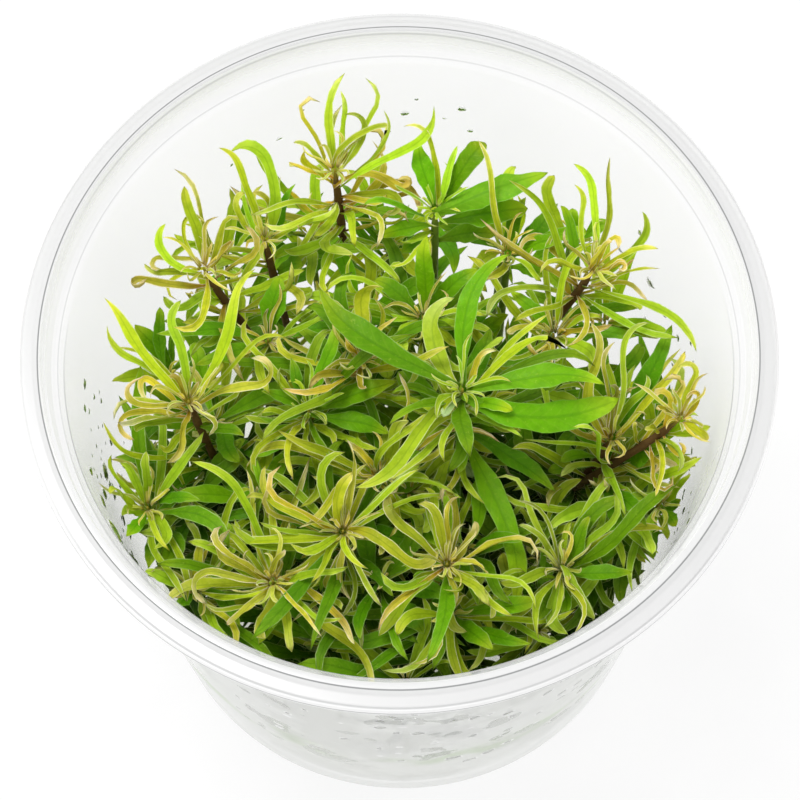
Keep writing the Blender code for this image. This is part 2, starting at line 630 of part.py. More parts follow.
def leaf_frames(face, tip, rise, droop, bend):
    """Places along a leaf from the stem to its tip, each with its side and upper directions."""
    base, outward, along, _ = face
    chord = tip - base
    azimuth = math.degrees(math.atan2(chord.y, chord.x))
    start = (heading(azimuth + bend, rise) + outward * FACE_PULL).normalized()
    finish = heading(azimuth - bend, -droop)
    first_pull = base + start * BASE_PULL * chord.length
    last_pull = tip - finish * TIP_PULL * chord.length
    points = interpolate_bezier(base, first_pull, last_pull, tip, LEAF_STEPS + 1)
    frames = []
    side = along
    for step, point in enumerate(points):
        before = points[max(step - 1, 0)]
        after = points[min(step + 1, LEAF_STEPS)]
        ahead = (after - before).normalized()
        level = UP.cross(ahead)
        side = side + level * math.copysign(LEVELLING, level.dot(side))
        side = (side - ahead * side.dot(ahead)).normalized()
        frames.append((point, side, ahead.cross(side).normalized()))
    return frames


def leaf_stations(reach):
    """The steps along a leaf at which the solid has a cross-section before its tip."""
    return LONG_STATIONS if reach > LONG_LEAF else SHORT_STATIONS


def blade_corners(frame, width, thickness):
    """The corners of a blade's cross-section: each is keyed by its side and by lower or upper."""
    middle, side, upper = frame
    return {
        (s, u): middle + side * (s * width / 2) + upper * (u * thickness / 2)
        for s in (-1, 1)
        for u in (-1, 1)
    }


def blade_tree(frames, width, margin, first=4):
    """A collision tree of a leaf from its first step to its tip, made thicker and wider by a margin."""
    reach = (frames[-1][0] - frames[0][0]).length
    corners = []
    for step in (first, *leaf_stations(reach), LEAF_STEPS):
        share = 0.5 if step in (first, LEAF_STEPS) else 1.0
        section = blade_corners(frames[step], width * share + 2 * margin, LEAF_THICKNESS + 2 * margin)
        corners.append([section[key] for key in ((-1, -1), (1, -1), (1, 1), (-1, 1))])
    points = [corner for section in corners for corner in section]
    faces = []
    for row in range(len(corners) - 1):
        for side in range(4):
            a, b = 4 * row + side, 4 * row + (side + 1) % 4
            faces.append((a, b, b + 4, a + 4))
    return BVHTree.FromPolygons(points, faces)


def stem_tree(stem):
    rings = [corners for corners, _ in stem.rings()]
    points = [corner for ring in rings for corner in ring]
    faces = []
    for row in range(len(rings) - 1):
        for side in range(STEM_SIDES):
            a, b = STEM_SIDES * row + side, STEM_SIDES * row + (side + 1) % STEM_SIDES
            faces.append((a, b, b + STEM_SIDES, a + STEM_SIDES))
    return BVHTree.FromPolygons(points, faces)


class Thicket:
    """Everything placed so far, which a new leaf has to miss."""

    def __init__(self, stems):
        self.trees = [(stem, stem_tree(stem)) for stem in stems]

    def is_clear(self, stem, frames, width):
        """Whether a leaf misses the cup, the other shoots and, past its base, its own shoot."""
        inside = all(self.fits_cup(frame, width) for frame in frames[2:])
        if not inside:
            return False
        wide = blade_tree(frames, width, LEAF_CLEARANCE, first=1)
        slim = blade_tree(frames, width, OWN_CLEARANCE)
        for owner, tree in self.trees:
            blade = slim if owner is stem else wide
            if blade.overlap(tree):
                return False
        return True

    def fits_cup(self, frame, width):
        for corner in blade_corners(frame, width, LEAF_THICKNESS).values():
            if math.hypot(corner.x, corner.y) > inner_radius(corner.z) - GAP:
                return False
            if not GEL_TOP + 1 < corner.z < CREST_HEIGHT - TOP_CLEARANCE / 2:
                return False
        return True

    def add(self, stem, frames, width):
        self.trees.append((stem, blade_tree(frames, width, 0.0)))


def settle_leaf(thicket, stem, leaf, places):
    """Grows the leaf at the first of its places that is clear, and returns whether it found one."""
    for tip in places:
        tip = inside_cup(tip, WALL_CLEARANCE + leaf.width / 3)
        spot = stem.free_face(leaf.whorl, tip)
        if spot is None:
            return False
        for more in RISE_TRIES:
            frames = leaf_frames(stem.face(*spot), tip, leaf.rise + more, leaf.droop, leaf.bend)
            if thicket.is_clear(stem, frames, leaf.width):
                thicket.add(stem, frames, leaf.width)
                stem.taken.add(spot)
                stem.leaves.append((spot, frames, leaf))
                return True
    return False


def tall_leaf_places(leaf):
    """The leaf's tip at several heights, all on one line of sight."""
    return [along_sight(leaf.across, leaf.back, leaf.height + more) for more in HEIGHT_TRIES]


def grow_tall_shoots(stems, thicket):
    for stem, shoot in zip(stems, TALL_SHOOTS):
        for leaf in shoot.leaves:
            settle_leaf(thicket, stem, leaf, tall_leaf_places(leaf))


def small_shoot_stems(tall):
    """Stems for the small shoots, in the places of the spiral that the tall ones leave free."""
    stems = []
    for place in range(SPIRAL_PLACES):
        radius = SPIRAL_RADIUS * math.sqrt((place + 2) / (SPIRAL_PLACES + 1))
        angle = place * GOLDEN_ANGLE
        chance = random.Random(place)
        foot = (radius * math.cos(angle), radius * math.sin(angle))
        height = SMALL_HEIGHT - SMALL_FALL * radius + chance.uniform(-5, 4)
        crown = Vector((foot[0] * SMALL_LEAN, foot[1] * SMALL_LEAN, height))
        name = f"small_shoot_{len(stems) + 1:02d}"
        stem = Stem(name, foot, crown, SMALL_DROPS, THIN_STEM_RADIUS, SMALL_RING_SPACING)
        thick = THIN_STEM_RADIUS + STEM_CLEARANCE
        room = stem_tree(Stem(name, foot, crown, SMALL_DROPS, thick, SMALL_RING_SPACING))
        if not any(room.overlap(stem_tree(other)) for other in tall + stems):
            stems.append(stem)
    return stems


def small_leaf(chance, whorl, near):
    """A leaf of a small shoot, paler towards the near side of the cup."""
    tone = "lime" if chance.random() < 0.35 + 0.3 * near else "green"
    width = chance.uniform(1.5, 2.1) if tone == "lime" else chance.uniform(1.7, 2.8)
    rise = chance.uniform(30, 55)
    droop = chance.uniform(0, 25)
    bend = chance.uniform(-15, 15)
    return Leaf(whorl, 0, 0, 0, width, tone, rise, droop, bend)


def small_leaf_places(stem, leaf, azimuth, reach):
    """The tip of a small shoot's leaf, turned and shortened a little at a time."""
    middle, _ = stem.below_crown(stem.drops[leaf.whorl])
    return [
        middle + heading(azimuth + turn, leaf.rise * SMALL_RISE_SHARE + lift) * reach * share
        for share in REACH_TRIES
        for lift in LIFT_TRIES
        for turn in TURN_TRIES
    ]


def grow_small_shoots(stems, thicket):
    for number, stem in enumerate(stems):
        chance = random.Random(100 + number)
        near = stem.foot[1] < 0
        for whorl, count in enumerate(SMALL_COUNTS):
            first = chance.uniform(0, 360)
            for turn in range(count):
                leaf = small_leaf(chance, whorl, near)
                azimuth = first + 360 * turn / count
                reach = chance.uniform(9, 13) + 1.5 * whorl
                settle_leaf(thicket, stem, leaf, small_leaf_places(stem, leaf, azimuth, reach))


def move_corners(face, targets):
    for vert, target in zip(face.verts, targets):
        vert.co = target


def extrude(bm, face):
    return bmesh.ops.extrude_discrete_faces(bm, faces=[face])["faces"][0]


def build_stem(bm, stem):
    """Extrudes the stem upwards ring by ring, and returns the faces of its whorls."""
    rings = stem.rings()
    step = math.tau / STEM_SIDES
    made = bmesh.ops.create_cone(bm, cap_ends=True, segments=STEM_SIDES, radius1=1, radius2=1, depth=2)
    number = {}
    for vert in made["verts"]:
        number[vert] = round(math.atan2(vert.co.y, vert.co.x) / step) % STEM_SIDES
    top = next(face for face in bm.faces if all(vert.co.z > 0 for vert in face.verts))
    order = [number[vert] for vert in top.verts]
    for vert in made["verts"]:
        corners, _ = rings[1 if vert.co.z > 0 else 0]
        vert.co = corners[number[vert]]
    bands = {}
    for corners, whorl in rings[2:]:
        top = extrude(bm, top)
        move_corners(top, [corners[side] for side in order])
        if whorl is not None:
            bands.update(band_faces(top, order, whorl))
    return bands


def band_faces(top, order, whorl):
    """The side faces under the top face, by whorl and side."""
    found = {}
    for loop, side in zip(top.loops, order):
        face = next(other for other in loop.edge.link_faces if other is not top)
        found[(whorl, side)] = face
    return found


def build_leaf(bm, face, frames, leaf):
    """Extrudes a face of the stem along the leaf and draws it to a point at the tip."""
    middle = face.calc_center_median()
    _, side, upper = frames[0]
    keys = []
    for vert in face.verts:
        arm = vert.co - middle
        keys.append((1 if arm.dot(side) > 0 else -1, 1 if arm.dot(upper) > 0 else -1))
    reach = (frames[-1][0] - frames[0][0]).length
    for station in leaf_stations(reach):
        face = extrude(bm, face)
        corners = blade_corners(frames[station], leaf.width, LEAF_THICKNESS)
        move_corners(face, [corners[key] for key in keys])
    face = extrude(bm, face)
    bmesh.ops.pointmerge(bm, verts=face.verts, merge_co=frames[-1][0])


def build_shoot(stem, collection):
    bm = bmesh.new()
    bands = build_stem(bm, stem)
    for spot, frames, leaf in stem.leaves:
        build_leaf(bm, bands[spot], frames, leaf)
    bmesh.ops.recalc_face_normals(bm, faces=bm.faces)
    tones = [TONES[leaf.tone] for _, _, leaf in stem.leaves]
    colour = [sum(tone[channel] for tone in tones) / len(tones) for channel in range(3)]
    return place_mesh(bm, stem.name, collection, new_material(stem.name, colour, 0.45))


def main():
    clear_scene()
    parts = new_collection("ludwigia_cup")
    cutters = new_collection("cutters", helper=True)
    tall = []
    for shoot in TALL_SHOOTS:
        crown = along_sight(*shoot.crown)
        tall.append(Stem(shoot.name, shoot.foot, crown, shoot.drops, STEM_RADIUS, TALL_RING_SPACING))
    small = small_shoot_stems(tall)
    thicket = Thicket(tall + small)
    grow_tall_shoots(tall, thicket)
    grow_small_shoots(small, thicket)
    plastic = new_material("cup", (0.92, 0.93, 0.93), 0.25, transmission=0.8, alpha=0.4)
    turned("cup", cup_profile(), parts, plastic)
    jelly = new_material("gel", (0.90, 0.92, 0.85), 0.1, transmission=0.8, alpha=0.5)
    gel = turned("gel", gel_profile(), parts, jelly)
    cut_pockets(gel, tall + small, cutters)
    for stem in tall + small:
        build_shoot(stem, parts)


main()
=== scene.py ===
"""The looks of the cup of white Ludwigia inclinata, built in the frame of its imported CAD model."""

import json
import math
import random
from typing import NamedTuple

import bpy
import numpy as np
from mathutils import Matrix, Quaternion, Vector
from mathutils.bvhtree import BVHTree
from mathutils.geometry import interpolate_bezier

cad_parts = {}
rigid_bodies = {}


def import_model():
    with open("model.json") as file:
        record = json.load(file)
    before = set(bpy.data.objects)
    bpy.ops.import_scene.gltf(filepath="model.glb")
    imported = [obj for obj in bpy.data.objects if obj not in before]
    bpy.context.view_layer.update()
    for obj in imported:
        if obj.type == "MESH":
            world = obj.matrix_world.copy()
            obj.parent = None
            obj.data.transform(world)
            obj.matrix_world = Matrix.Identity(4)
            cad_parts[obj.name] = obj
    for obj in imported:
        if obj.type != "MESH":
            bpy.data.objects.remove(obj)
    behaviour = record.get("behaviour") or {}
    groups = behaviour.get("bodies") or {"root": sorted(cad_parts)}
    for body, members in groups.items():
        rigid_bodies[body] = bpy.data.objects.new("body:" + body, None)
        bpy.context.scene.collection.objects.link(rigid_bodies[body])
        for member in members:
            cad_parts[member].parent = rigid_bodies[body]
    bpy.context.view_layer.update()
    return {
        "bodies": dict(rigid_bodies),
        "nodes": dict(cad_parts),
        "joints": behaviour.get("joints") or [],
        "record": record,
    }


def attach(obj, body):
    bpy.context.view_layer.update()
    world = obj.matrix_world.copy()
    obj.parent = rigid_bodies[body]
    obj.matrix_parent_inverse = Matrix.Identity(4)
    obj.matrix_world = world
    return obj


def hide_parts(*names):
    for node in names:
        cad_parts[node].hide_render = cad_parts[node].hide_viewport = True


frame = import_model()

# Every length here is in millimetres, and what is made from it is in metres
MM = 0.001
UP = Vector((0, 0, 1))
GAP = 0.3

# The cup
FLANGE_RADIUS = 50.0
FLANGE_HEIGHT = 82.9
FLANGE_EDGE = 0.4
CREST_RADIUS = 47.4
CREST_HEIGHT = 83.3
CREST_WIDTH = 1.0
CREST_SLOPE = 0.7
SKIRT_DEPTH = 2.0
SHOULDER_HEIGHT = 78.6
SHOULDER_RISE = 0.9
LEDGE_WIDTH = 1.6
MOUTH_RADIUS = 44.3
BASE_RADIUS = 35.6
WALL = 0.8
FLOOR_TOP = 1.8
FLOOR_CORNER = 1.2
BASE_RECESS = 0.9
BASE_CORNER = 0.8
FOOT_WIDTH = 3.0
WALL_SLOPE = (MOUTH_RADIUS + WALL - BASE_RADIUS) / SHOULDER_HEIGHT

# The gel, and how deep the stems stand in it
GEL_TOP = 15.2
GEL_CORNER = 1.3
MENISCUS = 0.7
MENISCUS_WIDTH = 2.5
ROOT_DEPTH = 7.0

# Stems: the swollen band of a node carries one whorl of leaves
STEM_SIDES = 5
STEM_RADIUS = 0.75
THIN_STEM_RADIUS = 0.6
STEM_CLEARANCE = 2.0
STEM_POINTS = 24
FOOT_PULL = 0.4
CROWN_PULL = 0.3
NODE_BAND = 1.0
NODE_SWELL = 1.12
CROWN_SWELL = 0.8
TALL_RING_SPACING = 24.0
SMALL_RING_SPACING = 60.0

# Leaves
LEAF_THICKNESS = 0.45
LEAF_STEPS = 20
LONG_LEAF = 14.0
LONG_STATIONS = (7, 14)
SHORT_STATIONS = (10,)
BASE_PULL = 0.4
TIP_PULL = 0.36
FACE_PULL = 0.35
LEVELLING = 0.3
LEAF_CLEARANCE = 0.35
OWN_CLEARANCE = 0.1
WALL_CLEARANCE = 0.6
TOP_CLEARANCE = 1.5
HEIGHT_TRIES = (0, 1.5, -1.5, 3, -3, 4.5, -4.5, 6, -6, 8, -8, 10, -10)
RISE_TRIES = (0, 18, -18, 35)

# Small shoots fill the cup between the tall ones, in a sunflower's spiral
SPIRAL_PLACES = 38
SPIRAL_RADIUS = 32.5
GOLDEN_ANGLE = math.radians(137.508)
SMALL_HEIGHT = 58.0
SMALL_FALL = 0.08
SMALL_LEAN = 1.13
SMALL_DROPS = (0, 4.5)
SMALL_COUNTS = (4, 2)
SMALL_RISE_SHARE = 0.55
REACH_TRIES = (1.0, 0.85, 0.7)
LIFT_TRIES = (0, 12, -12)
TURN_TRIES = (0, 12, -12, 24, -24)

# The tall shoots are laid out as seen from above and in front, on a level plane.
# Each place then moves along its line of sight to its own height.
EYE = Vector((0.1, -192.6, 525.7))
PLAN_LEVEL = 60.0

# The fine cup and gel are turned with rounded corners
CUP_STEPS = 160
CORNER_POINTS = 4
CORNER_ROOM = 0.42
SHARP_CORNER = 0.25
SOFT_CORNER = 0.9

# Painted dark lines at the rim's moulded corners, which stand in for the shade that the clear plastic
# shows there: each ring's radius, its width, the height that it lies above, its strength and from and to
# how far back it fades in
PAINTED_RIM_LINES = (
    (47.4, 0.14, 83.0, 0.70, None),
    (46.4, 0.13, 83.0, 0.26, (10, 36)),
    (45.1, 0.13, 78.3, 0.16, None),
    (44.3, 0.16, 78.3, 0.40, (12, -12)),
    (49.7, 0.14, 82.5, 0.25, (-20, -36)),
)

# A shadow and a shine that run round the skirt: the height of each above the skirt's lower edge,
# its width, its strength and the radius that it starts from
SKIRT_SHADOW = (0.5, 0.24, 0.6, 49.2)
SKIRT_SHINE = (0.1, 0.20, 1.0, 49.0)

# The plastic's looks: how far back its mist reaches, the heights that it lies between, the height of a
# painted green reflection of the leaves, and its colours, among them the grey of painted lines and the
# painted grey of level faces
MIST_BACK = (-30, 0)
MIST_FOOT = (16, 20)
MIST_TOP = (77, 79)
PAINTED_REFLECTION_HEIGHT = 24
PAINTED_LINE_GREY = (0.10, 0.11, 0.11, 1)
WALL_WHITE = (0.95, 0.95, 0.95, 1)
LEVEL_PAINTED_GREY = (0.61, 0.61, 0.61, 1)
MIST_WHITE = (0.84, 0.85, 0.83, 1)
PAINTED_REFLECTION_GREEN = (0.52, 0.64, 0.42, 1)
PURE_WHITE = (1.0, 1.0, 1.0, 1)
PURE_BLACK = (0, 0, 0, 1)

# Droplets on the inside of the wall: from and to an angle, from and to a height, how many, how large
DROPLETS = (
    (205, 335, 24, 74, 90, (0.4, 1.8)),
    (172, 224, 40, 70, 64, (0.25, 1.5)),
    (8, 42, 44, 63, 14, (0.3, 1.2)),
    (-36, 8, 38, 60, 36, (0.15, 0.6)),
    (60, 130, 62, 76, 9, (0.25, 0.7)),
)
DROPLET_SIDES = 14
DROPLET_ROWS = 4
DROPLET_SEED = 77
DROPLET_SINK = 0.03
SMALL_DROPLET_BIAS = 2.5

# Fine blades: places across the upper side from edge to edge, and back across the lower side
FINE_UPPER = (-1, -0.72, -0.34, 0, 0.34, 0.72, 1)
FINE_LOWER = (0.72, 0.3, 0, -0.3, -0.72)
PLAIN_UPPER = (-1, -0.5, 0, 0.5, 1)
PLAIN_LOWER = (0.5, 0, -0.5)
BLADE_THICKNESS = 0.15
THINNEST_SHARE = 0.35
EDGE_THINNING = 0.85
MIDRIB_DEPTH = 0.10
MIDRIB_WIDTH = 0.3
PILLOW = 0.03
FULL_FOLD = 0.35
TOP_GAP = 0.8
UNDERSIDE_TINT = (0.4, 0.5, 0.10)
UNDERSIDE_SHARE = 0.12

# How much blades of one style differ from each other
FULL_FROM_SPREAD = (-0.04, 0.16)
FULL_TO_SPREAD = (-0.22, 0.04)
SHORTEST_FULL = 0.04
BLUNT_SPREAD = (0.9, 1.4)
WANDER_PHASES = (-0.5, 0.5)
HOOK_LEAN = 0.9
LIGHT_SPREAD = (0.74, 1.14)
WARM_SPREAD = (-0.14, 0.12)
RIM_SPREAD = (0.45, 1.1)

# Painted shade on leaves low in the cup, and painted light from behind on leaves far back: the shade's
# colour, the heights and the places
PAINTED_SHADE = (0.22, 0.31, 0.18)
PAINTED_SHADE_HEIGHTS = (40, 62)
PAINTED_LIGHT_PLACES = (8, 30)

# Fine stems, with a swelling at each whorl
STEM_RING_SIDES = 10
STEM_RING_STEP = 0.8
NODE_BULGE = 0.18
NODE_BULGE_LENGTH = 0.7

# The cup's space is counted in cells, so that an extra leaf grows only where there is room for it.
# The view of the broad leaves and of the bare upper stems is kept free.
CELL = 1.3
BROAD_LEAF = 2.5
BARE_LENGTH = 22
BARE_WIDTH = 2
SIGHT_STEPS = 12
EXTRA_TURNS = (0, 20, -20, 45, -45)
EXTRA_RISE_SHARE = 0.55
CROWN_CROWDING = 0.35
LOW_CROWDING = 0.22

# Extra leaves down the stems, between and below the CAD model's leaves: a style, how likely it is,
# and the least and most of the leaf's length, width, rise and droop
LOWEST_LEAF = 26.0
LOWEST_NEAR_LEAF = 19.0
WHORL_STEP = 4.0
LOW_WHORL = 6
SPARSE_WHORL = 2
SPARSE_BACK = 16.0
LOW_LEAVES = (
    ("deep", 0.32, (11, 20), (1.3, 2.5), (15, 70), (-10, 50)),
    ("lime", 0.28, (10, 19), (0.8, 1.4), (20, 75), (-20, 50)),
    ("olive", 0.14, (10, 17), (0.6, 1.1), (25, 75), (-30, 40)),
    ("spoon", 0.20, (5, 9), (1.1, 1.9), (30, 75), (-20, 30)),
    ("pale", 0.06, (3, 6), (1.0, 1.7), (30, 75), (-20, 30)),
)

# Daylight and the camera, fitted to the cup's circles in the photograph
LENS = 165.45
SENSOR = 36.0
CAMERA_PLACE = Vector((0.0743, -192.624, 525.744))
CAMERA_AIM = Vector((0.074, -7.543, 82.86))
CAMERA_ROLL = math.radians(-1.0883)
CLIP_START = 10
KEY_PLACE = Vector((-250, 150, 1000))
KEY_AIM = Vector((0, 0, 60))
KEY_SIZE = 350
KEY_POWER = 6.0
TABLE_REACH = 3000


class Style(NamedTuple):
    """How blades of one tone look."""

    outline: tuple
    fold: tuple
    twist: float
    curl: float
    hook: float
    ruffle: float
    rim: float
    foot: tuple
    body: tuple
    tip: tuple


# An outline is where the blade is first and last at its full width, how narrow it is at the stem,
# and how sharp its tip is. A fold is the least and most that its halves stand up, and a twist and a
# hook are the most that the blade turns about its length and at its tip, all in degrees. A curl is
# how far it wanders from its smooth curve, as a share of its length. The rim is how pale its margin is.
STYLES = {
    "green": Style((0.40, 0.60, 0.28, 0.72), (3, 18), 20, 0.025, 25, 0.12, 0.30,
                   (0.19, 0.40, 0.004), (0.18, 0.45, 0.002), (0.42, 0.60, 0.01)),
    "deep": Style((0.36, 0.66, 0.30, 0.66), (3, 26), 36, 0.05, 45, 0.14, 0.50,
                  (0.16, 0.32, 0.004), (0.18, 0.40, 0.003), (0.32, 0.52, 0.01)),
    "lime": Style((0.26, 0.78, 0.36, 0.58), (10, 40), 40, 0.06, 80, 0.12, 0.70,
                  (0.48, 0.58, 0.01), (0.50, 0.68, 0.02), (0.66, 0.75, 0.06)),
    "olive": Style((0.22, 0.80, 0.40, 0.56), (16, 54), 55, 0.08, 110, 0.12, 0.90,
                   (0.60, 0.56, 0.02), (0.58, 0.66, 0.03), (0.80, 0.79, 0.18)),
    "tan": Style((0.20, 0.80, 0.44, 0.56), (30, 66), 90, 0.12, 170, 0.14, 0.95,
                 (0.56, 0.34, 0.02), (0.67, 0.62, 0.05), (0.90, 0.74, 0.30)),
    "pink": Style((0.20, 0.80, 0.42, 0.56), (24, 62), 75, 0.11, 160, 0.14, 1.0,
                  (0.68, 0.54, 0.02), (0.72, 0.70, 0.06), (1.00, 0.82, 0.50)),
    "spoon": Style((0.60, 0.82, 0.26, 0.50), (3, 28), 26, 0.04, 30, 0.08, 0.45,
                   (0.24, 0.46, 0.01), (0.28, 0.57, 0.004), (0.50, 0.70, 0.03)),
    "pale": Style((0.60, 0.80, 0.30, 0.50), (3, 28), 26, 0.04, 30, 0.08, 0.60,
                  (0.60, 0.74, 0.16), (0.80, 0.90, 0.34), (0.86, 0.92, 0.44)),
    "young": Style((0.34, 0.56, 0.50, 0.70), (30, 60), 40, 0.08, 110, 0.0, 0.70,
                   (0.66, 0.50, 0.04), (0.74, 0.72, 0.10), (0.94, 0.82, 0.34)),
}
GREENEST = 0.4
SPOON_SHARE = 0.6
STRAP_NARROWING = 0.9
WILD_NARROWING = 0.85
WILD_CURL = 1.4

# Shoots that stand free enough to show their brown stems, with wilder leaves round their crowns
BROWN_STEMS = (
    "shoot_left_back", "shoot_back_left", "shoot_back_centre", "shoot_right_back", "shoot_right",
    "shoot_left", "shoot_right_inner",
)

# Narrow leaves that arch out near a crown: how many, and how far below it the lowest one stands
CROWN_LEAVES = {
    "shoot_right": (36, 24),
    "shoot_back_centre": (22, 17),
    "shoot_back_left": (14, 15),
    "shoot_left_back": (14, 15),
    "shoot_right_back": (10, 12),
    "shoot_left": (10, 12),
    "shoot_back_right": (4, 4),
    "shoot_centre_broad": (4, 6),
    "shoot_back_green": (5, 8),
}
PLAIN_CROWN = (12, 5)
BARE_CROWN = (5, 5)
SMALL_CROWN = (4, 5)
GREEN_CROWNS = ("shoot_centre_broad", "shoot_back_green", "shoot_centre_left")
CROWN_TURN = 137.5
CROWN_TOP = 0.3

# The least and most of those leaves' width, rise and droop, and of their length where they are few
ARCH_SPANS = ((0.65, 1.3), (25, 80), (-35, 45))
LONG_ARCHES = (6, 18)
SHORT_ARCHES = (6, 12)
FEW_ARCHES = 10

# Young leaves in the heart of a crown: how many, the first one's length, how much longer each next
# one is, and the least and most of their width, rise and droop
TALL_BUDS = 12
SMALL_BUDS = 6
FIRST_BUD = 1.4
BUD_GROWTH = 0.55
BUD_SPANS = ((0.35, 0.65), (60, 88), (-70, -10))

STEM_GREEN = (0.26, 0.36, 0.05)
STEM_BROWN = (0.20, 0.11, 0.04)
STEM_PALE = (0.42, 0.48, 0.24)
STEM_TIP = (0.46, 0.40, 0.05)


class Leaf(NamedTuple):
    """A leaf's whorl, counted down from the crown, its tip, its width and how it bends."""

    whorl: int
    across: float
    back: float
    height: float
    width: float
    tone: str = "olive"
    rise: float = 45
    droop: float = 10
    bend: float = 0


class Shoot(NamedTuple):
    """A stem's foot in the gel, its crown, its whorls' depths below the crown, and its leaves."""

    name: str
    foot: tuple
    crown: tuple
    drops: tuple
    leaves: tuple


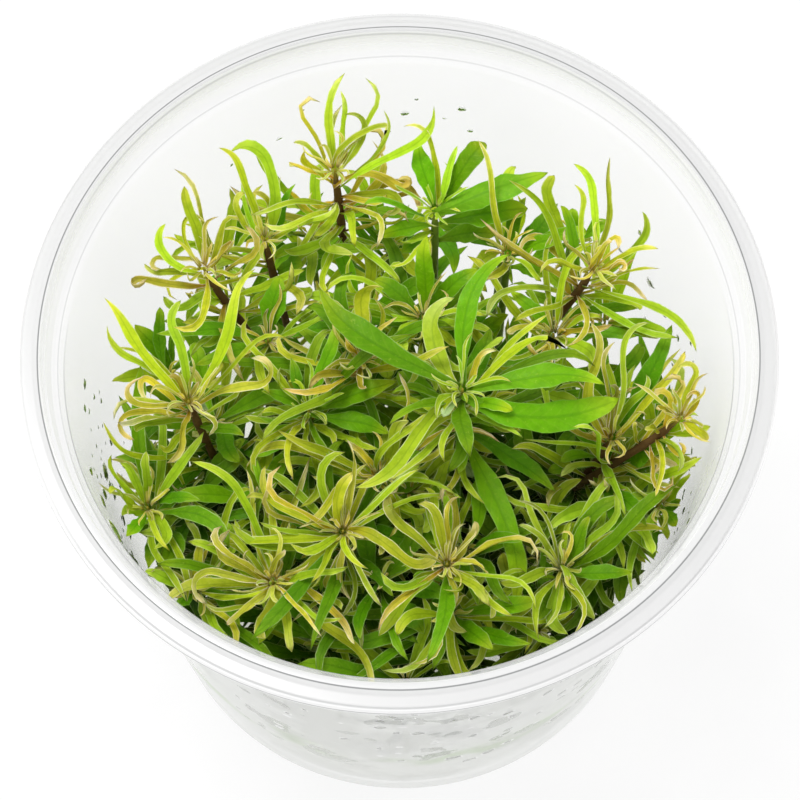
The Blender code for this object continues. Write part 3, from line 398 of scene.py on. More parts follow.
TALL_SHOOTS = (
    Shoot("shoot_left_back", (-13, 12), (-27, 22.5, 74), (0, 4, 9, 15), (
        Leaf(0, -30.5, 35, 80, 2.0, "lime", 55, -30),
        Leaf(0, -29.3, 34, 78, 0.9, "olive", 60, -30, 20),
        Leaf(0, -35, 29.5, 76, 1.6, "lime", 30, -20, 25),
        Leaf(0, -35.5, 26, 73, 1.1, "tan", 30, 10),
        Leaf(0, -22.7, 25.5, 76, 1.1, "tan", 70, 60, 40),
        Leaf(1, -40.3, 19.5, 72, 1.4, "tan", 20, 10),
        Leaf(1, -35.5, 21.5, 69, 1.3, "olive", 20, 20),
        Leaf(1, -33, 14.5, 67, 1.6, "lime", 25, 15),
        Leaf(2, -25, 9, 66, 1.7, "lime", 30, 20),
        Leaf(2, -12.5, 21, 67, 1.5, "lime", 30, 10),
    )),
    Shoot("shoot_back_left", (-14, 17), (-18.5, 27, 70), (0, 3, 9), (
        Leaf(0, -23.3, 42.5, 79, 1.4, "lime", 60, -20),
        Leaf(0, -25, 33, 75, 1.3, "olive", 45, 0),
        Leaf(0, -21, 45, 78, 2.2, "lime", 65, 10, -25),
        Leaf(1, -14.3, 35.5, 72, 1.5, "green", 50, 0),
        Leaf(1, -16, 35.5, 74, 1.1, "olive", 60, -10),
        Leaf(1, -24.5, 25.5, 67, 1.2, "olive", 30, 20),
        Leaf(2, -13, 23, 63, 3.2, "green", 30, 10),
    )),
    Shoot("shoot_back_green", (5, 20), (5.5, 31, 70), (0, 3, 8), (
        Leaf(0, 13, 41, 75, 3.2, "green", 60, 50),
        Leaf(0, 2.5, 41.5, 75, 2.8, "green", 70, -10),
        Leaf(0, 8.2, 41, 76, 1.3, "lime", 70, -10),
        Leaf(0, 21.5, 36, 73, 3.8, "green", 35, 15),
        Leaf(1, 18.5, 30, 68, 3.8, "green", 25, 25),
        Leaf(1, 2.7, 46, 77, 0.9, "olive", 60, 20, -30),
        Leaf(1, -2.5, 27, 65, 2.4, "green", 30, 20),
        Leaf(2, 14, 27, 63, 3.0, "green", 20, 20),
        Leaf(2, 0.5, 24.5, 62, 2.2, "green", 30, 20),
    )),
    Shoot("shoot_back_centre", (-6, 22), (-8.5, 37.5, 74), (0, 3, 7, 12), (
        Leaf(0, -5, 50, 80.5, 1.2, "olive", 65, -30),
        Leaf(0, -2.6, 48, 80, 1.1, "olive", 60, -30),
        Leaf(0, 2.4, 47.3, 79, 1.1, "olive", 55, 10),
        Leaf(0, -13.8, 42, 76, 1.1, "olive", 65, 45),
        Leaf(1, 2.2, 44.5, 76, 1.0, "olive", 50, 25),
        Leaf(1, -15.5, 39, 74, 1.4, "olive", 45, 10),
        Leaf(1, -16.5, 38.5, 71, 1.0, "tan", 20, 0),
        Leaf(1, 10.3, 43, 77, 1.7, "lime", 25, 15, 15),
        Leaf(1, 5, 32.5, 70, 1.7, "tan", 45, 45, 35),
        Leaf(2, -13, 31, 69, 1.2, "pink", 30, 30),
        Leaf(2, 6.5, 35.5, 71, 1.8, "tan", 15, 0),
        Leaf(2, 3.3, 31.5, 68, 1.6, "olive", 25, 30),
        Leaf(3, -20, 40, 75, 1.5, "lime", 10, -40, 20),
        Leaf(3, 3, 29, 66, 0.9, "olive", 25, 0),
        Leaf(3, -10.5, 20.5, 69, 2.0, "olive", 40, 10),
        Leaf(3, -16, 23.5, 65, 1.8, "lime", 30, 10),
    )),
    Shoot("shoot_back_right", (14, 18), (15.5, 24, 67), (0, 4), (
        Leaf(0, 12, 42, 78, 1.0, "olive", 70, -20, 15),
        Leaf(0, 23, 25, 71, 2.3, "green", 45, 20, 25),
        Leaf(1, 17.5, 33, 68, 2.2, "green", 50, 10),
        Leaf(1, 21, 20.5, 62, 2.2, "green", 30, 20),
        Leaf(1, 11, 21.5, 64, 1.7, "lime", 30, 20),
    )),
    Shoot("shoot_right_back", (13, 13), (27.5, 21.5, 74), (0, 4, 8, 14), (
        Leaf(0, 27.8, 39.5, 80.5, 1.5, "lime", 60, -35),
        Leaf(0, 26.5, 35, 78, 1.0, "lime", 65, -20, 15),
        Leaf(0, 36.3, 25.5, 76, 1.2, "olive", 30, 0),
        Leaf(0, 33, 21.8, 74, 1.1, "tan", 30, 10),
        Leaf(0, 30, 26, 77, 1.3, "tan", 50, 0),
        Leaf(1, 28.8, 38.5, 76, 1.1, "olive", 40, -20, -30),
        Leaf(1, 23, 31, 73, 1.4, "green", 50, 40, -25),
        Leaf(1, 36, 30, 76, 1.4, "lime", 10, -50, -35),
        Leaf(1, 34, 20.8, 71, 0.9, "pink", 30, 10),
        Leaf(1, 42.5, 9, 71, 1.5, "lime", 30, 30, 20),
        Leaf(2, 17.8, 38.3, 76, 1.3, "lime", 60, -20),
        Leaf(2, 19, 29.5, 73, 1.5, "tan", 50, 30),
        Leaf(2, 35, 14.5, 68, 1.8, "lime", 20, 20, 20),
        Leaf(2, 10.5, 16.5, 68, 1.2, "olive", 40, 20, -20),
        Leaf(3, 34.5, 15, 63, 1.8, "green", 15, 5),
        Leaf(3, 15, 9.5, 66, 1.5, "pink", 50, 50, -25),
    )),
    Shoot("shoot_right", (11, -9), (38.5, -1.5, 71), (0, 4, 9, 15, 21), (
        Leaf(0, 42.6, -5, 70, 1.5, "olive", 80, 75, 60),
        Leaf(0, 43, 4.5, 75, 1.0, "pink", 60, -20),
        Leaf(0, 41.5, 8.5, 74, 1.4, "olive", 55, -20),
        Leaf(0, 34, 0.5, 73, 1.1, "tan", 50, 30),
        Leaf(1, 44, -3.5, 74, 1.5, "lime", 20, -20),
        Leaf(1, 39, -8.5, 68, 1.3, "tan", 30, 10),
        Leaf(1, 33.5, -3, 70, 1.2, "olive", 40, 20),
        Leaf(2, 36.5, -10.5, 66, 1.2, "pink", 30, 20),
        Leaf(2, 31.5, -2, 68, 1.3, "olive", 50, 10),
        Leaf(3, 42.5, -8, 70, 1.8, "lime", 10, -20, -25),
        Leaf(3, 36, -5.8, 62, 3.8, "green", 15, 5),
        Leaf(3, 23.5, -3.5, 68, 1.6, "lime", 60, 0),
        Leaf(4, 33.5, -17, 61, 2.4, "green", 20, 10),
        Leaf(4, 15, -4, 62, 1.8, "lime", 30, 20),
    )),
    Shoot("shoot_right_inner", (22, -4), (29, -4, 65), (0, 4), (
        Leaf(0, 32.3, 15.7, 77, 1.1, "olive", 70, -40),
        Leaf(0, 29.7, 10.5, 74, 1.0, "tan", 70, -40),
        Leaf(0, 40, 8, 75, 1.5, "olive", 50, -20),
        Leaf(0, 30.3, 12.8, 73, 1.8, "olive", 50, -20, 40),
        Leaf(1, 38.5, 12.3, 70, 2.6, "green", 35, -10),
        Leaf(1, 36.5, 3.5, 68, 1.5, "lime", 40, 20),
        Leaf(1, 20.5, -0.5, 66, 2.0, "green", 30, 20),
    )),
    Shoot("shoot_left", (-23, -3), (-29, 2.5, 72), (0, 3, 7, 13, 19), (
        Leaf(0, -40.3, 18.5, 77, 1.9, "lime", 45, -10),
        Leaf(0, -34, 17, 76, 1.7, "lime", 60, 20, -15),
        Leaf(0, -41, 3.3, 74, 1.2, "pink", 35, 20),
        Leaf(0, -20.3, 22.5, 79, 2.0, "lime", 60, -20),
        Leaf(0, -22, 10, 76, 1.1, "pink", 55, 20, -15),
        Leaf(1, -41.3, 13.5, 73, 1.3, "lime", 30, -30),
        Leaf(1, -37, 11, 72, 1.4, "pink", 55, 0),
        Leaf(1, -42, 1.8, 71, 1.4, "tan", 15, -20),
        Leaf(1, -13.5, 7.5, 74, 1.7, "pink", 40, 10),
        Leaf(2, -38.5, -1, 67, 1.6, "lime", 30, 0),
        Leaf(2, -33, -6, 66, 1.4, "lime", 30, 20),
        Leaf(2, -21, -2.5, 67, 1.7, "green", 30, 20),
        Leaf(3, -42.8, -5, 71, 1.5, "lime", 5, -30, 25),
        Leaf(3, -39, -6.5, 62, 1.9, "green", 20, 10),
        Leaf(4, -34, -13, 57, 1.8, "green", 25, 10),
    )),
    Shoot("shoot_centre_broad", (8, -5), (8.7, 3.5, 75), (0, 2.5, 13), (
        Leaf(0, 16, 23.5, 80, 2.5, "green", 45, 10, 45),
        Leaf(0, -11.7, 18.5, 79, 3.5, "green", 30, 0, 20),
        Leaf(0, 28.5, 4.5, 77, 3.4, "green", 30, 10, 10),
        Leaf(0, 30, 2, 73, 4.6, "green", 10, -10, -30),
        Leaf(0, -3.3, -14, 72, 2.0, "lime", 30, 20),
        Leaf(1, 6.8, 18.5, 76, 2.7, "olive", 30, -30, 50),
        Leaf(1, 15.5, 0, 76, 2.1, "green", 30, 20),
        Leaf(1, 11.2, 11.3, 79, 1.1, "pink", 60, -20),
        Leaf(1, 14, 12, 77, 1.2, "lime", 45, 10),
        Leaf(2, 16.5, -29, 57, 3.3, "green", 10, 30, 15),
        Leaf(2, 21, -12, 60, 2.6, "green", 20, 20),
        Leaf(2, 4, -14, 60, 1.7, "lime", 30, 10),
    )),
    Shoot("shoot_near_centre", (-7.5, -18), (-8, -17, 68), (0, 2.5, 10), (
        Leaf(0, -8.5, -8, 74, 1.9, "olive", 70, -30),
        Leaf(0, -22.5, -10.5, 69, 1.5, "olive", 30, 20),
        Leaf(0, -24.5, -19.5, 66, 1.6, "lime", 25, 15),
        Leaf(0, -9.5, -27.3, 67, 1.1, "pink", 40, 20),
        Leaf(0, 5, -24.7, 66, 1.8, "olive", 35, 25),
        Leaf(1, -15.2, -25, 65, 1.8, "olive", 30, 20),
        Leaf(1, -0.8, -19, 67, 1.2, "olive", 40, 20),
        Leaf(1, -19, -7, 67, 1.3, "lime", 30, 10),
        Leaf(1, -12.2, -26.5, 64, 1.1, "pink", 25, 10),
        Leaf(2, -1, -26.5, 58, 1.8, "green", 25, 10),
        Leaf(2, -17, -20, 57, 1.8, "green", 25, 10),
    )),
    Shoot("shoot_near_left", (-16, -22), (-17.5, -24, 66), (0, 2.5, 9), (
        Leaf(0, -32, -22, 68, 1.1, "pink", 30, 10),
        Leaf(0, -24, -30.5, 64, 1.1, "pink", 30, 10),
        Leaf(0, -20, -33, 63, 1.9, "olive", 40, 20),
        Leaf(0, -4, -32, 64, 1.2, "pink", 30, 15),
        Leaf(0, -15.5, -20, 69, 1.0, "pink", 60, 40),
        Leaf(1, -33, -24.5, 64, 1.8, "olive", 20, 5),
        Leaf(1, -25.2, -3.5, 73, 1.2, "lime", 45, -30),
        Leaf(1, -0.5, -37, 61, 1.6, "olive", 20, 5),
        Leaf(2, -24, -27, 55, 1.8, "lime", 25, 10),
        Leaf(2, -11, -33, 56, 1.8, "green", 25, 10),
    )),
    Shoot("shoot_near_right", (7, -21), (6, -22, 67), (0, 2.5, 9), (
        Leaf(0, 5.5, -11, 73, 1.0, "pink", 70, -20),
        Leaf(0, -4, -13.7, 69, 1.6, "olive", 30, 10),
        Leaf(0, 12, -23, 68, 1.1, "tan", 40, 30),
        Leaf(0, 14.5, -29.5, 64, 1.6, "olive", 30, 10),
        Leaf(0, 8.8, -27.5, 66, 1.1, "pink", 35, 10),
        Leaf(1, 7.2, -33, 62, 1.6, "olive", 25, 10),
        Leaf(1, 11, -16.5, 68, 1.3, "tan", 40, 10),
        Leaf(1, -4, -31.5, 61, 2.2, "lime", 20, 10),
        Leaf(2, 13, -33, 56, 1.8, "lime", 25, 10),
        Leaf(2, 3, -34, 56, 2.0, "green", 25, 10),
    )),
    Shoot("shoot_centre_left", (-12, -5), (-12.5, 1, 67), (0, 4), (
        Leaf(0, -7.7, 13.5, 74, 2.1, "green", 55, -10),
        Leaf(0, 0, 4.5, 70, 3.2, "green", 25, 10),
        Leaf(0, -1, -2, 66, 2.6, "green", 20, 10),
        Leaf(0, -19, 4, 68, 1.7, "green", 30, 10),
        Leaf(0, -14.5, 9, 71, 1.5, "green", 50, 0),
        Leaf(1, -20, -6.5, 61, 2.4, "green", 25, 10),
        Leaf(1, -7, -9, 60, 1.8, "green", 25, 10),
    )),
    Shoot("shoot_centre_back", (3, 8), (3.5, 14.5, 66), (0, 4), (
        Leaf(0, 3.7, 27, 74, 2.6, "green", 55, -20),
        Leaf(0, -1.5, 8, 70, 1.9, "lime", 45, 20),
        Leaf(0, 9, 12, 70, 1.7, "lime", 40, 20),
        Leaf(0, -3, 21, 68, 2.6, "green", 40, 10),
        Leaf(1, 13.7, 12.8, 64, 1.6, "lime", 25, 20),
        Leaf(1, 11, 22, 64, 2.6, "green", 30, 20),
    )),
    Shoot("shoot_centre_tan", (-6, 4), (-5, 8, 71), (0, 5), (
        Leaf(0, -8.3, 11.5, 73, 1.1, "tan", 50, 10),
        Leaf(0, -11.5, 5, 72, 1.2, "tan", 50, 40),
        Leaf(0, -5.5, 2.5, 72, 1.2, "tan", 50, 40),
        Leaf(0, -6.3, 22.5, 78, 2.3, "olive", 55, -30),
        Leaf(1, -2, 10, 68, 1.6, "lime", 40, 20),
        Leaf(1, -14, 13.5, 66, 2.2, "green", 30, 10),
    )),
    Shoot("shoot_centre_olive", (-2.5, -11), (-3, -9, 66), (0, 4), (
        Leaf(0, 0.5, 1.3, 73, 1.9, "olive", 65, -30),
        Leaf(0, 3.2, 0.5, 72, 1.2, "lime", 60, -20),
        Leaf(0, -6, -2.5, 71, 1.1, "pink", 65, -20),
        Leaf(0, -22, -1.5, 69, 1.6, "olive", 30, 10),
        Leaf(0, 4, -9, 67, 1.4, "lime", 40, 30),
        Leaf(1, -18, -5.5, 64, 1.5, "lime", 25, 10),
        Leaf(1, 4, -17, 62, 1.7, "lime", 30, 15),
    )),
    Shoot("shoot_left_green", (-19, 6), (-18, 11.5, 64), (0, 4), (
        Leaf(0, -33.5, 12.5, 68, 2.1, "green", 25, 10),
        Leaf(0, -28, 7.5, 66, 2.2, "green", 25, 10),
        Leaf(0, -7, 13, 67, 2.2, "green", 25, 10),
        Leaf(0, -16, 21, 67, 3.2, "green", 35, 10),
        Leaf(1, -27, 15, 61, 2.4, "green", 30, 15),
        Leaf(1, -10, 7, 60, 2.0, "green", 30, 15),
    )),
    Shoot("shoot_right_green", (20, 6), (21.5, 11.5, 65), (0, 4), (
        Leaf(0, 28.5, 6.5, 68, 1.9, "lime", 40, 20),
        Leaf(0, 21.5, 6.5, 69, 1.3, "tan", 60, 30),
        Leaf(0, 33, 11, 67, 2.0, "green", 30, 10),
        Leaf(0, 15.5, 18, 67, 1.8, "green", 40, 10),
        Leaf(1, 27.5, 17, 62, 2.0, "green", 30, 15),
        Leaf(1, 12, 7, 61, 2.0, "green", 30, 15),
    )),
    Shoot("shoot_near_far_right", (20, -19), (21.5, -23, 60), (0, 4), (
        Leaf(0, 19.3, -34, 60, 1.6, "lime", 35, 20),
        Leaf(0, 13, -26, 62, 1.5, "lime", 35, 15),
        Leaf(0, 31, -24, 61, 2.2, "green", 30, 15),
        Leaf(0, 25.5, -15.5, 64, 1.9, "green", 35, 10),
        Leaf(0, 25, -31, 59, 1.6, "lime", 35, 15),
        Leaf(1, 12, -33, 56, 1.7, "olive", 25, 10),
        Leaf(1, 30, -19.5, 56, 2.4, "green", 25, 10),
    )),
    Shoot("shoot_wall_left", (-30, -10), (-34.5, -13, 60), (0, 4), (
        Leaf(0, -40.5, -10, 67, 1.7, "lime", 50, -20),
        Leaf(0, -38, -18, 62, 2.0, "green", 30, 10),
        Leaf(0, -31, -20, 62, 1.6, "lime", 35, 15),
        Leaf(0, -27, -12, 65, 1.7, "green", 40, 15),
        Leaf(0, -34, -5, 66, 1.5, "lime", 45, 0),
        Leaf(1, -40, -14, 57, 1.8, "lime", 25, 10),
        Leaf(1, -34, -22, 56, 1.9, "green", 25, 10),
    )),
    Shoot("shoot_near_far_left", (-24, -20.5), (-28, -25, 58), (0, 4), (
        Leaf(0, -35.5, -22.5, 62, 1.6, "lime", 40, 0),
        Leaf(0, -32.5, -29, 58, 1.8, "green", 30, 10),
        Leaf(0, -26.5, -34, 57, 1.6, "lime", 30, 10),
        Leaf(0, -21, -30, 60, 1.8, "green", 35, 15),
        Leaf(0, -27, -18, 63, 1.4, "olive", 50, 0),
        Leaf(1, -19, -35, 54, 1.7, "green", 25, 10),
    )),
    Shoot("shoot_wall_right", (30, -9), (35, -14, 57), (0, 4), (
        Leaf(0, 40.5, -11, 63, 1.6, "lime", 50, -10),
        Leaf(0, 39.5, -18.5, 59, 2.0, "green", 30, 10),
        Leaf(0, 32, -21.5, 60, 1.7, "lime", 35, 15),
        Leaf(0, 27.5, -13.5, 62, 2.2, "green", 35, 15),
        Leaf(1, 40, -14, 53, 1.8, "green", 25, 10),
        Leaf(1, 33, -22, 54, 2.0, "green", 25, 10),
    )),
)


def outer_radius(height):
    return BASE_RADIUS + WALL_SLOPE * height


def inner_radius(height):
    return outer_radius(height) - WALL


def along_sight(across, back, height):
    """Moves a place seen on the plan level along its line of sight to its own height."""
    share = (EYE.z - height) / (EYE.z - PLAN_LEVEL)
    return Vector((EYE.x + (across - EYE.x) * share, EYE.y + (back - EYE.y) * share, height))


def inside_cup(point, clearance):
    """The point, moved towards the cup's axis where it would be too near the wall."""
    reach = inner_radius(point.z) - clearance
    flat = Vector((point.x, point.y, 0))
    if flat.length > reach:
        flat *= reach / flat.length
    return Vector((flat.x, flat.y, min(point.z, CREST_HEIGHT - TOP_CLEARANCE)))


def heading(azimuth, lift):
    """A unit direction from two angles in degrees: round from +X, and up from level."""
    flat = math.cos(math.radians(lift))
    turn = math.radians(azimuth)
    return Vector((flat * math.cos(turn), flat * math.sin(turn), math.sin(math.radians(lift))))


class Stem:
    """One shoot's stem: its bent path, its rings and the free faces of its whorls."""

    def __init__(self, name, foot, crown, drops, radius, spacing):
        self.name = name
        self.foot = foot
        self.drops = drops
        self.radius = radius
        self.spacing = spacing
        self.leaves = []
        self.taken = set()
        start = Vector((*foot, GEL_TOP))
        lean = crown - start
        first_pull = start + UP * FOOT_PULL * lean.length
        last_pull = crown - lean * CROWN_PULL
        self.path = interpolate_bezier(start, first_pull, last_pull, crown, STEM_POINTS)

    def below_crown(self, distance):
        """The point and the direction of the stem at a distance down from its crown."""
        for upper, lower in zip(self.path[::-1], self.path[-2::-1]):
            step = (upper - lower).length
            if distance <= step:
                return upper.lerp(lower, distance / step), (upper - lower).normalized()
            distance -= step
        return self.path[0].copy(), UP.copy()

    def length(self):
        return sum((b - a).length for a, b in zip(self.path, self.path[1:]))

    def ring(self, distance, turn, swell=1.0):
        """The corners of the stem's cross-section at a distance below the crown."""
        centre, axis = self.below_crown(distance)
        return self.corners(centre, axis, turn, self.radius * swell)

    def corners(self, centre, axis, turn, radius):
        tilt = UP.rotation_difference(axis)
        angles = [turn + side * math.tau / STEM_SIDES for side in range(STEM_SIDES)]
        return [centre + tilt @ Vector((math.cos(a), math.sin(a), 0)) * radius for a in angles]

    def whorl_turn(self, whorl):
        """Each whorl's faces stand between those of the next one, and each stem has its own start."""
        return whorl * math.pi / STEM_SIDES + self.foot[0]

    def band(self, whorl):
        """The lower and the upper ring of a whorl's band."""
        turn = self.whorl_turn(whorl)
        below = self.ring(self.drops[whorl] + NODE_BAND, turn, NODE_SWELL)
        above = self.ring(self.drops[whorl], turn, NODE_SWELL if whorl else CROWN_SWELL)
        return below, above

    def rings(self):
        """All rings from the foot up, each with the number of the whorl that ends there, or None."""
        turn = self.whorl_turn(len(self.drops) - 1)
        found = []
        for height in (GEL_TOP - ROOT_DEPTH, GEL_TOP + GAP):
            centre = Vector((*self.foot, height))
            found.append((self.corners(centre, UP, turn, self.radius), None))
        lowest = self.drops[-1] + NODE_BAND
        bare = self.length() - lowest
        count = int(bare / self.spacing)
        for step in range(count, 0, -1):
            found.append((self.ring(lowest + bare * step / (count + 1), turn), None))
        for whorl in range(len(self.drops) - 1, -1, -1):
            below, above = self.band(whorl)
            found.append((below, None))
            found.append((above, whorl))
        return found

    def face(self, whorl, side):
        """The middle, outward direction, side direction and axis of one face of a whorl's band."""
        below, above = self.band(whorl)
        following = (side + 1) % STEM_SIDES
        middle = (below[side] + below[following] + above[side] + above[following]) / 4
        along = (below[following] - below[side]).normalized()
        axis = ((above[side] + above[following]) - (below[side] + below[following])).normalized()
        return middle, along.cross(axis).normalized(), along, axis

    def free_face(self, whorl, tip):
        """The free face of this whorl, or of the next that has one, that looks most towards the tip."""
        for level in range(whorl, len(self.drops)):
            free = [side for side in range(STEM_SIDES) if (level, side) not in self.taken]
            if free:
                return level, max(free, key=lambda side: self.facing(level, side, tip))
        return None

    def facing(self, whorl, side, tip):
        """How squarely a face looks towards a leaf's tip, seen from above."""
        middle, outward, _, _ = self.face(whorl, side)
        flat = Vector((tip.x - middle.x, tip.y - middle.y, 0)).normalized()
        return outward.dot(flat)


def leaf_frames(face, tip, rise, droop, bend):
    """Places along a leaf from the stem to its tip, each with its side and upper directions."""
    base, outward, along, _ = face
    chord = tip - base
    azimuth = math.degrees(math.atan2(chord.y, chord.x))
    start = (heading(azimuth + bend, rise) + outward * FACE_PULL).normalized()
    finish = heading(azimuth - bend, -droop)
    first_pull = base + start * BASE_PULL * chord.length
    last_pull = tip - finish * TIP_PULL * chord.length
    points = interpolate_bezier(base, first_pull, last_pull, tip, LEAF_STEPS + 1)
    frames = []
    side = along
    for step, point in enumerate(points):
        before = points[max(step - 1, 0)]
        after = points[min(step + 1, LEAF_STEPS)]
        ahead = (after - before).normalized()
        level = UP.cross(ahead)
        side = side + level * math.copysign(LEVELLING, level.dot(side))
        side = (side - ahead * side.dot(ahead)).normalized()
        frames.append((point, side, ahead.cross(side).normalized()))
    return frames


def leaf_stations(reach):
    """The steps along a leaf at which the solid has a cross-section before its tip."""
    return LONG_STATIONS if reach > LONG_LEAF else SHORT_STATIONS


def blade_corners(frame, width, thickness):
    """The corners of a blade's cross-section: each is keyed by its side and by lower or upper."""
    middle, side, upper = frame
    return {
        (s, u): middle + side * (s * width / 2) + upper * (u * thickness / 2)
        for s in (-1, 1)
        for u in (-1, 1)
    }


def blade_tree(frames, width, margin, first=4):
    """A collision tree of a leaf from its first step to its tip, made thicker and wider by a margin."""
    reach = (frames[-1][0] - frames[0][0]).length
    corners = []
    for step in (first, *leaf_stations(reach), LEAF_STEPS):
        share = 0.5 if step in (first, LEAF_STEPS) else 1.0
        section = blade_corners(frames[step], width * share + 2 * margin, LEAF_THICKNESS + 2 * margin)
        corners.append([section[key] for key in ((-1, -1), (1, -1), (1, 1), (-1, 1))])
    points = [corner for section in corners for corner in section]
    faces = []
    for row in range(len(corners) - 1):
        for side in range(4):
            a, b = 4 * row + side, 4 * row + (side + 1) % 4
            faces.append((a, b, b + 4, a + 4))
    return BVHTree.FromPolygons(points, faces)


def stem_tree(stem):
    rings = [corners for corners, _ in stem.rings()]
    points = [corner for ring in rings for corner in ring]
    faces = []
    for row in range(len(rings) - 1):
        for side in range(STEM_SIDES):
            a, b = STEM_SIDES * row + side, STEM_SIDES * row + (side + 1) % STEM_SIDES
            faces.append((a, b, b + STEM_SIDES, a + STEM_SIDES))
    return BVHTree.FromPolygons(points, faces)


class Thicket:
    """Everything placed so far, which a new leaf has to miss."""

    def __init__(self, stems):
        self.trees = [(stem, stem_tree(stem)) for stem in stems]

    def is_clear(self, stem, frames, width):
        """Whether a leaf misses the cup, the other shoots and, past its base, its own shoot."""
        inside = all(self.fits_cup(frame, width) for frame in frames[2:])
        if not inside:
            return False
        wide = blade_tree(frames, width, LEAF_CLEARANCE, first=1)
        slim = blade_tree(frames, width, OWN_CLEARANCE)
        for owner, tree in self.trees:
            blade = slim if owner is stem else wide
            if blade.overlap(tree):
                return False
        return True

    def fits_cup(self, frame, width):
        for corner in blade_corners(frame, width, LEAF_THICKNESS).values():
            if math.hypot(corner.x, corner.y) > inner_radius(corner.z) - GAP:
                return False
            if not GEL_TOP + 1 < corner.z < CREST_HEIGHT - TOP_CLEARANCE / 2:
                return False
        return True

    def add(self, stem, frames, width):
        self.trees.append((stem, blade_tree(frames, width, 0.0)))


def settle_leaf(thicket, stem, leaf, places):
    """Grows the leaf at the first of its places that is clear, and returns whether it found one."""
    for tip in places:
        tip = inside_cup(tip, WALL_CLEARANCE + leaf.width / 3)
        spot = stem.free_face(leaf.whorl, tip)
        if spot is None:
            return False
        for more in RISE_TRIES:
            frames = leaf_frames(stem.face(*spot), tip, leaf.rise + more, leaf.droop, leaf.bend)
            if thicket.is_clear(stem, frames, leaf.width):
                thicket.add(stem, frames, leaf.width)
                stem.taken.add(spot)
                stem.leaves.append((spot, frames, leaf))
                return True
    return False


def tall_leaf_places(leaf):
    """The leaf's tip at several heights, all on one line of sight."""
    return [along_sight(leaf.across, leaf.back, leaf.height + more) for more in HEIGHT_TRIES]


def grow_tall_shoots(stems, thicket):
    for stem, shoot in zip(stems, TALL_SHOOTS):
        for leaf in shoot.leaves:
            settle_leaf(thicket, stem, leaf, tall_leaf_places(leaf))


def small_shoot_stems(tall):
    """Stems for the small shoots, in the places of the spiral that the tall ones leave free."""
    stems = []
    for place in range(SPIRAL_PLACES):
        radius = SPIRAL_RADIUS * math.sqrt((place + 2) / (SPIRAL_PLACES + 1))
        angle = place * GOLDEN_ANGLE
        chance = random.Random(place)
        foot = (radius * math.cos(angle), radius * math.sin(angle))
        height = SMALL_HEIGHT - SMALL_FALL * radius + chance.uniform(-5, 4)
        crown = Vector((foot[0] * SMALL_LEAN, foot[1] * SMALL_LEAN, height))
        name = f"small_shoot_{len(stems) + 1:02d}"
        stem = Stem(name, foot, crown, SMALL_DROPS, THIN_STEM_RADIUS, SMALL_RING_SPACING)
        thick = THIN_STEM_RADIUS + STEM_CLEARANCE
        room = stem_tree(Stem(name, foot, crown, SMALL_DROPS, thick, SMALL_RING_SPACING))
        if not any(room.overlap(stem_tree(other)) for other in tall + stems):
            stems.append(stem)
    return stems


def small_leaf(chance, whorl, near):
    """A leaf of a small shoot, paler towards the near side of the cup."""
    tone = "lime" if chance.random() < 0.35 + 0.3 * near else "green"
    width = chance.uniform(1.5, 2.1) if tone == "lime" else chance.uniform(1.7, 2.8)
    rise = chance.uniform(30, 55)
    droop = chance.uniform(0, 25)
    bend = chance.uniform(-15, 15)
    return Leaf(whorl, 0, 0, 0, width, tone, rise, droop, bend)


def small_leaf_places(stem, leaf, azimuth, reach):
    """The tip of a small shoot's leaf, turned and shortened a little at a time."""
    middle, _ = stem.below_crown(stem.drops[leaf.whorl])
    return [
        middle + heading(azimuth + turn, leaf.rise * SMALL_RISE_SHARE + lift) * reach * share
        for share in REACH_TRIES
        for lift in LIFT_TRIES
        for turn in TURN_TRIES
    ]


def grow_small_shoots(stems, thicket):
    for number, stem in enumerate(stems):
        chance = random.Random(100 + number)
        near = stem.foot[1] < 0
        for whorl, count in enumerate(SMALL_COUNTS):
            first = chance.uniform(0, 360)
            for turn in range(count):
                leaf = small_leaf(chance, whorl, near)
                azimuth = first + 360 * turn / count
                reach = chance.uniform(9, 13) + 1.5 * whorl
                settle_leaf(thicket, stem, leaf, small_leaf_places(stem, leaf, azimuth, reach))


def smooth(values, low, high):
    """Rises from 0 at low to 1 at high, with a soft start and end."""
    share = np.clip((np.asarray(values, float) - low) / (high - low), 0, 1)
    return share * share * (3 - 2 * share)


def blend_tints(first, second, share):
    return np.asarray(first) + (np.asarray(second) - np.asarray(first)) * share


def wave(shares, chance, slowest, quickest, phases=(0, 6)):
    """A sine along a blade, whose pace and start are picked between limits."""
    return np.sin(shares * chance.uniform(slowest, quickest) + chance.uniform(*phases))


def pick_each(chance, spans):
    return tuple(chance.uniform(*span) for span in spans)


def new_object(name, points, faces, material):
    """An object in the scene, made in metres from points in millimetres."""
    mesh = bpy.data.meshes.new(name)
    mesh.from_pydata((np.array(points, float) * MM).tolist(), [], faces)
    mesh.materials.append(material)
    obj = bpy.data.objects.new(name, mesh)
    bpy.context.scene.collection.objects.link(obj)
    return obj


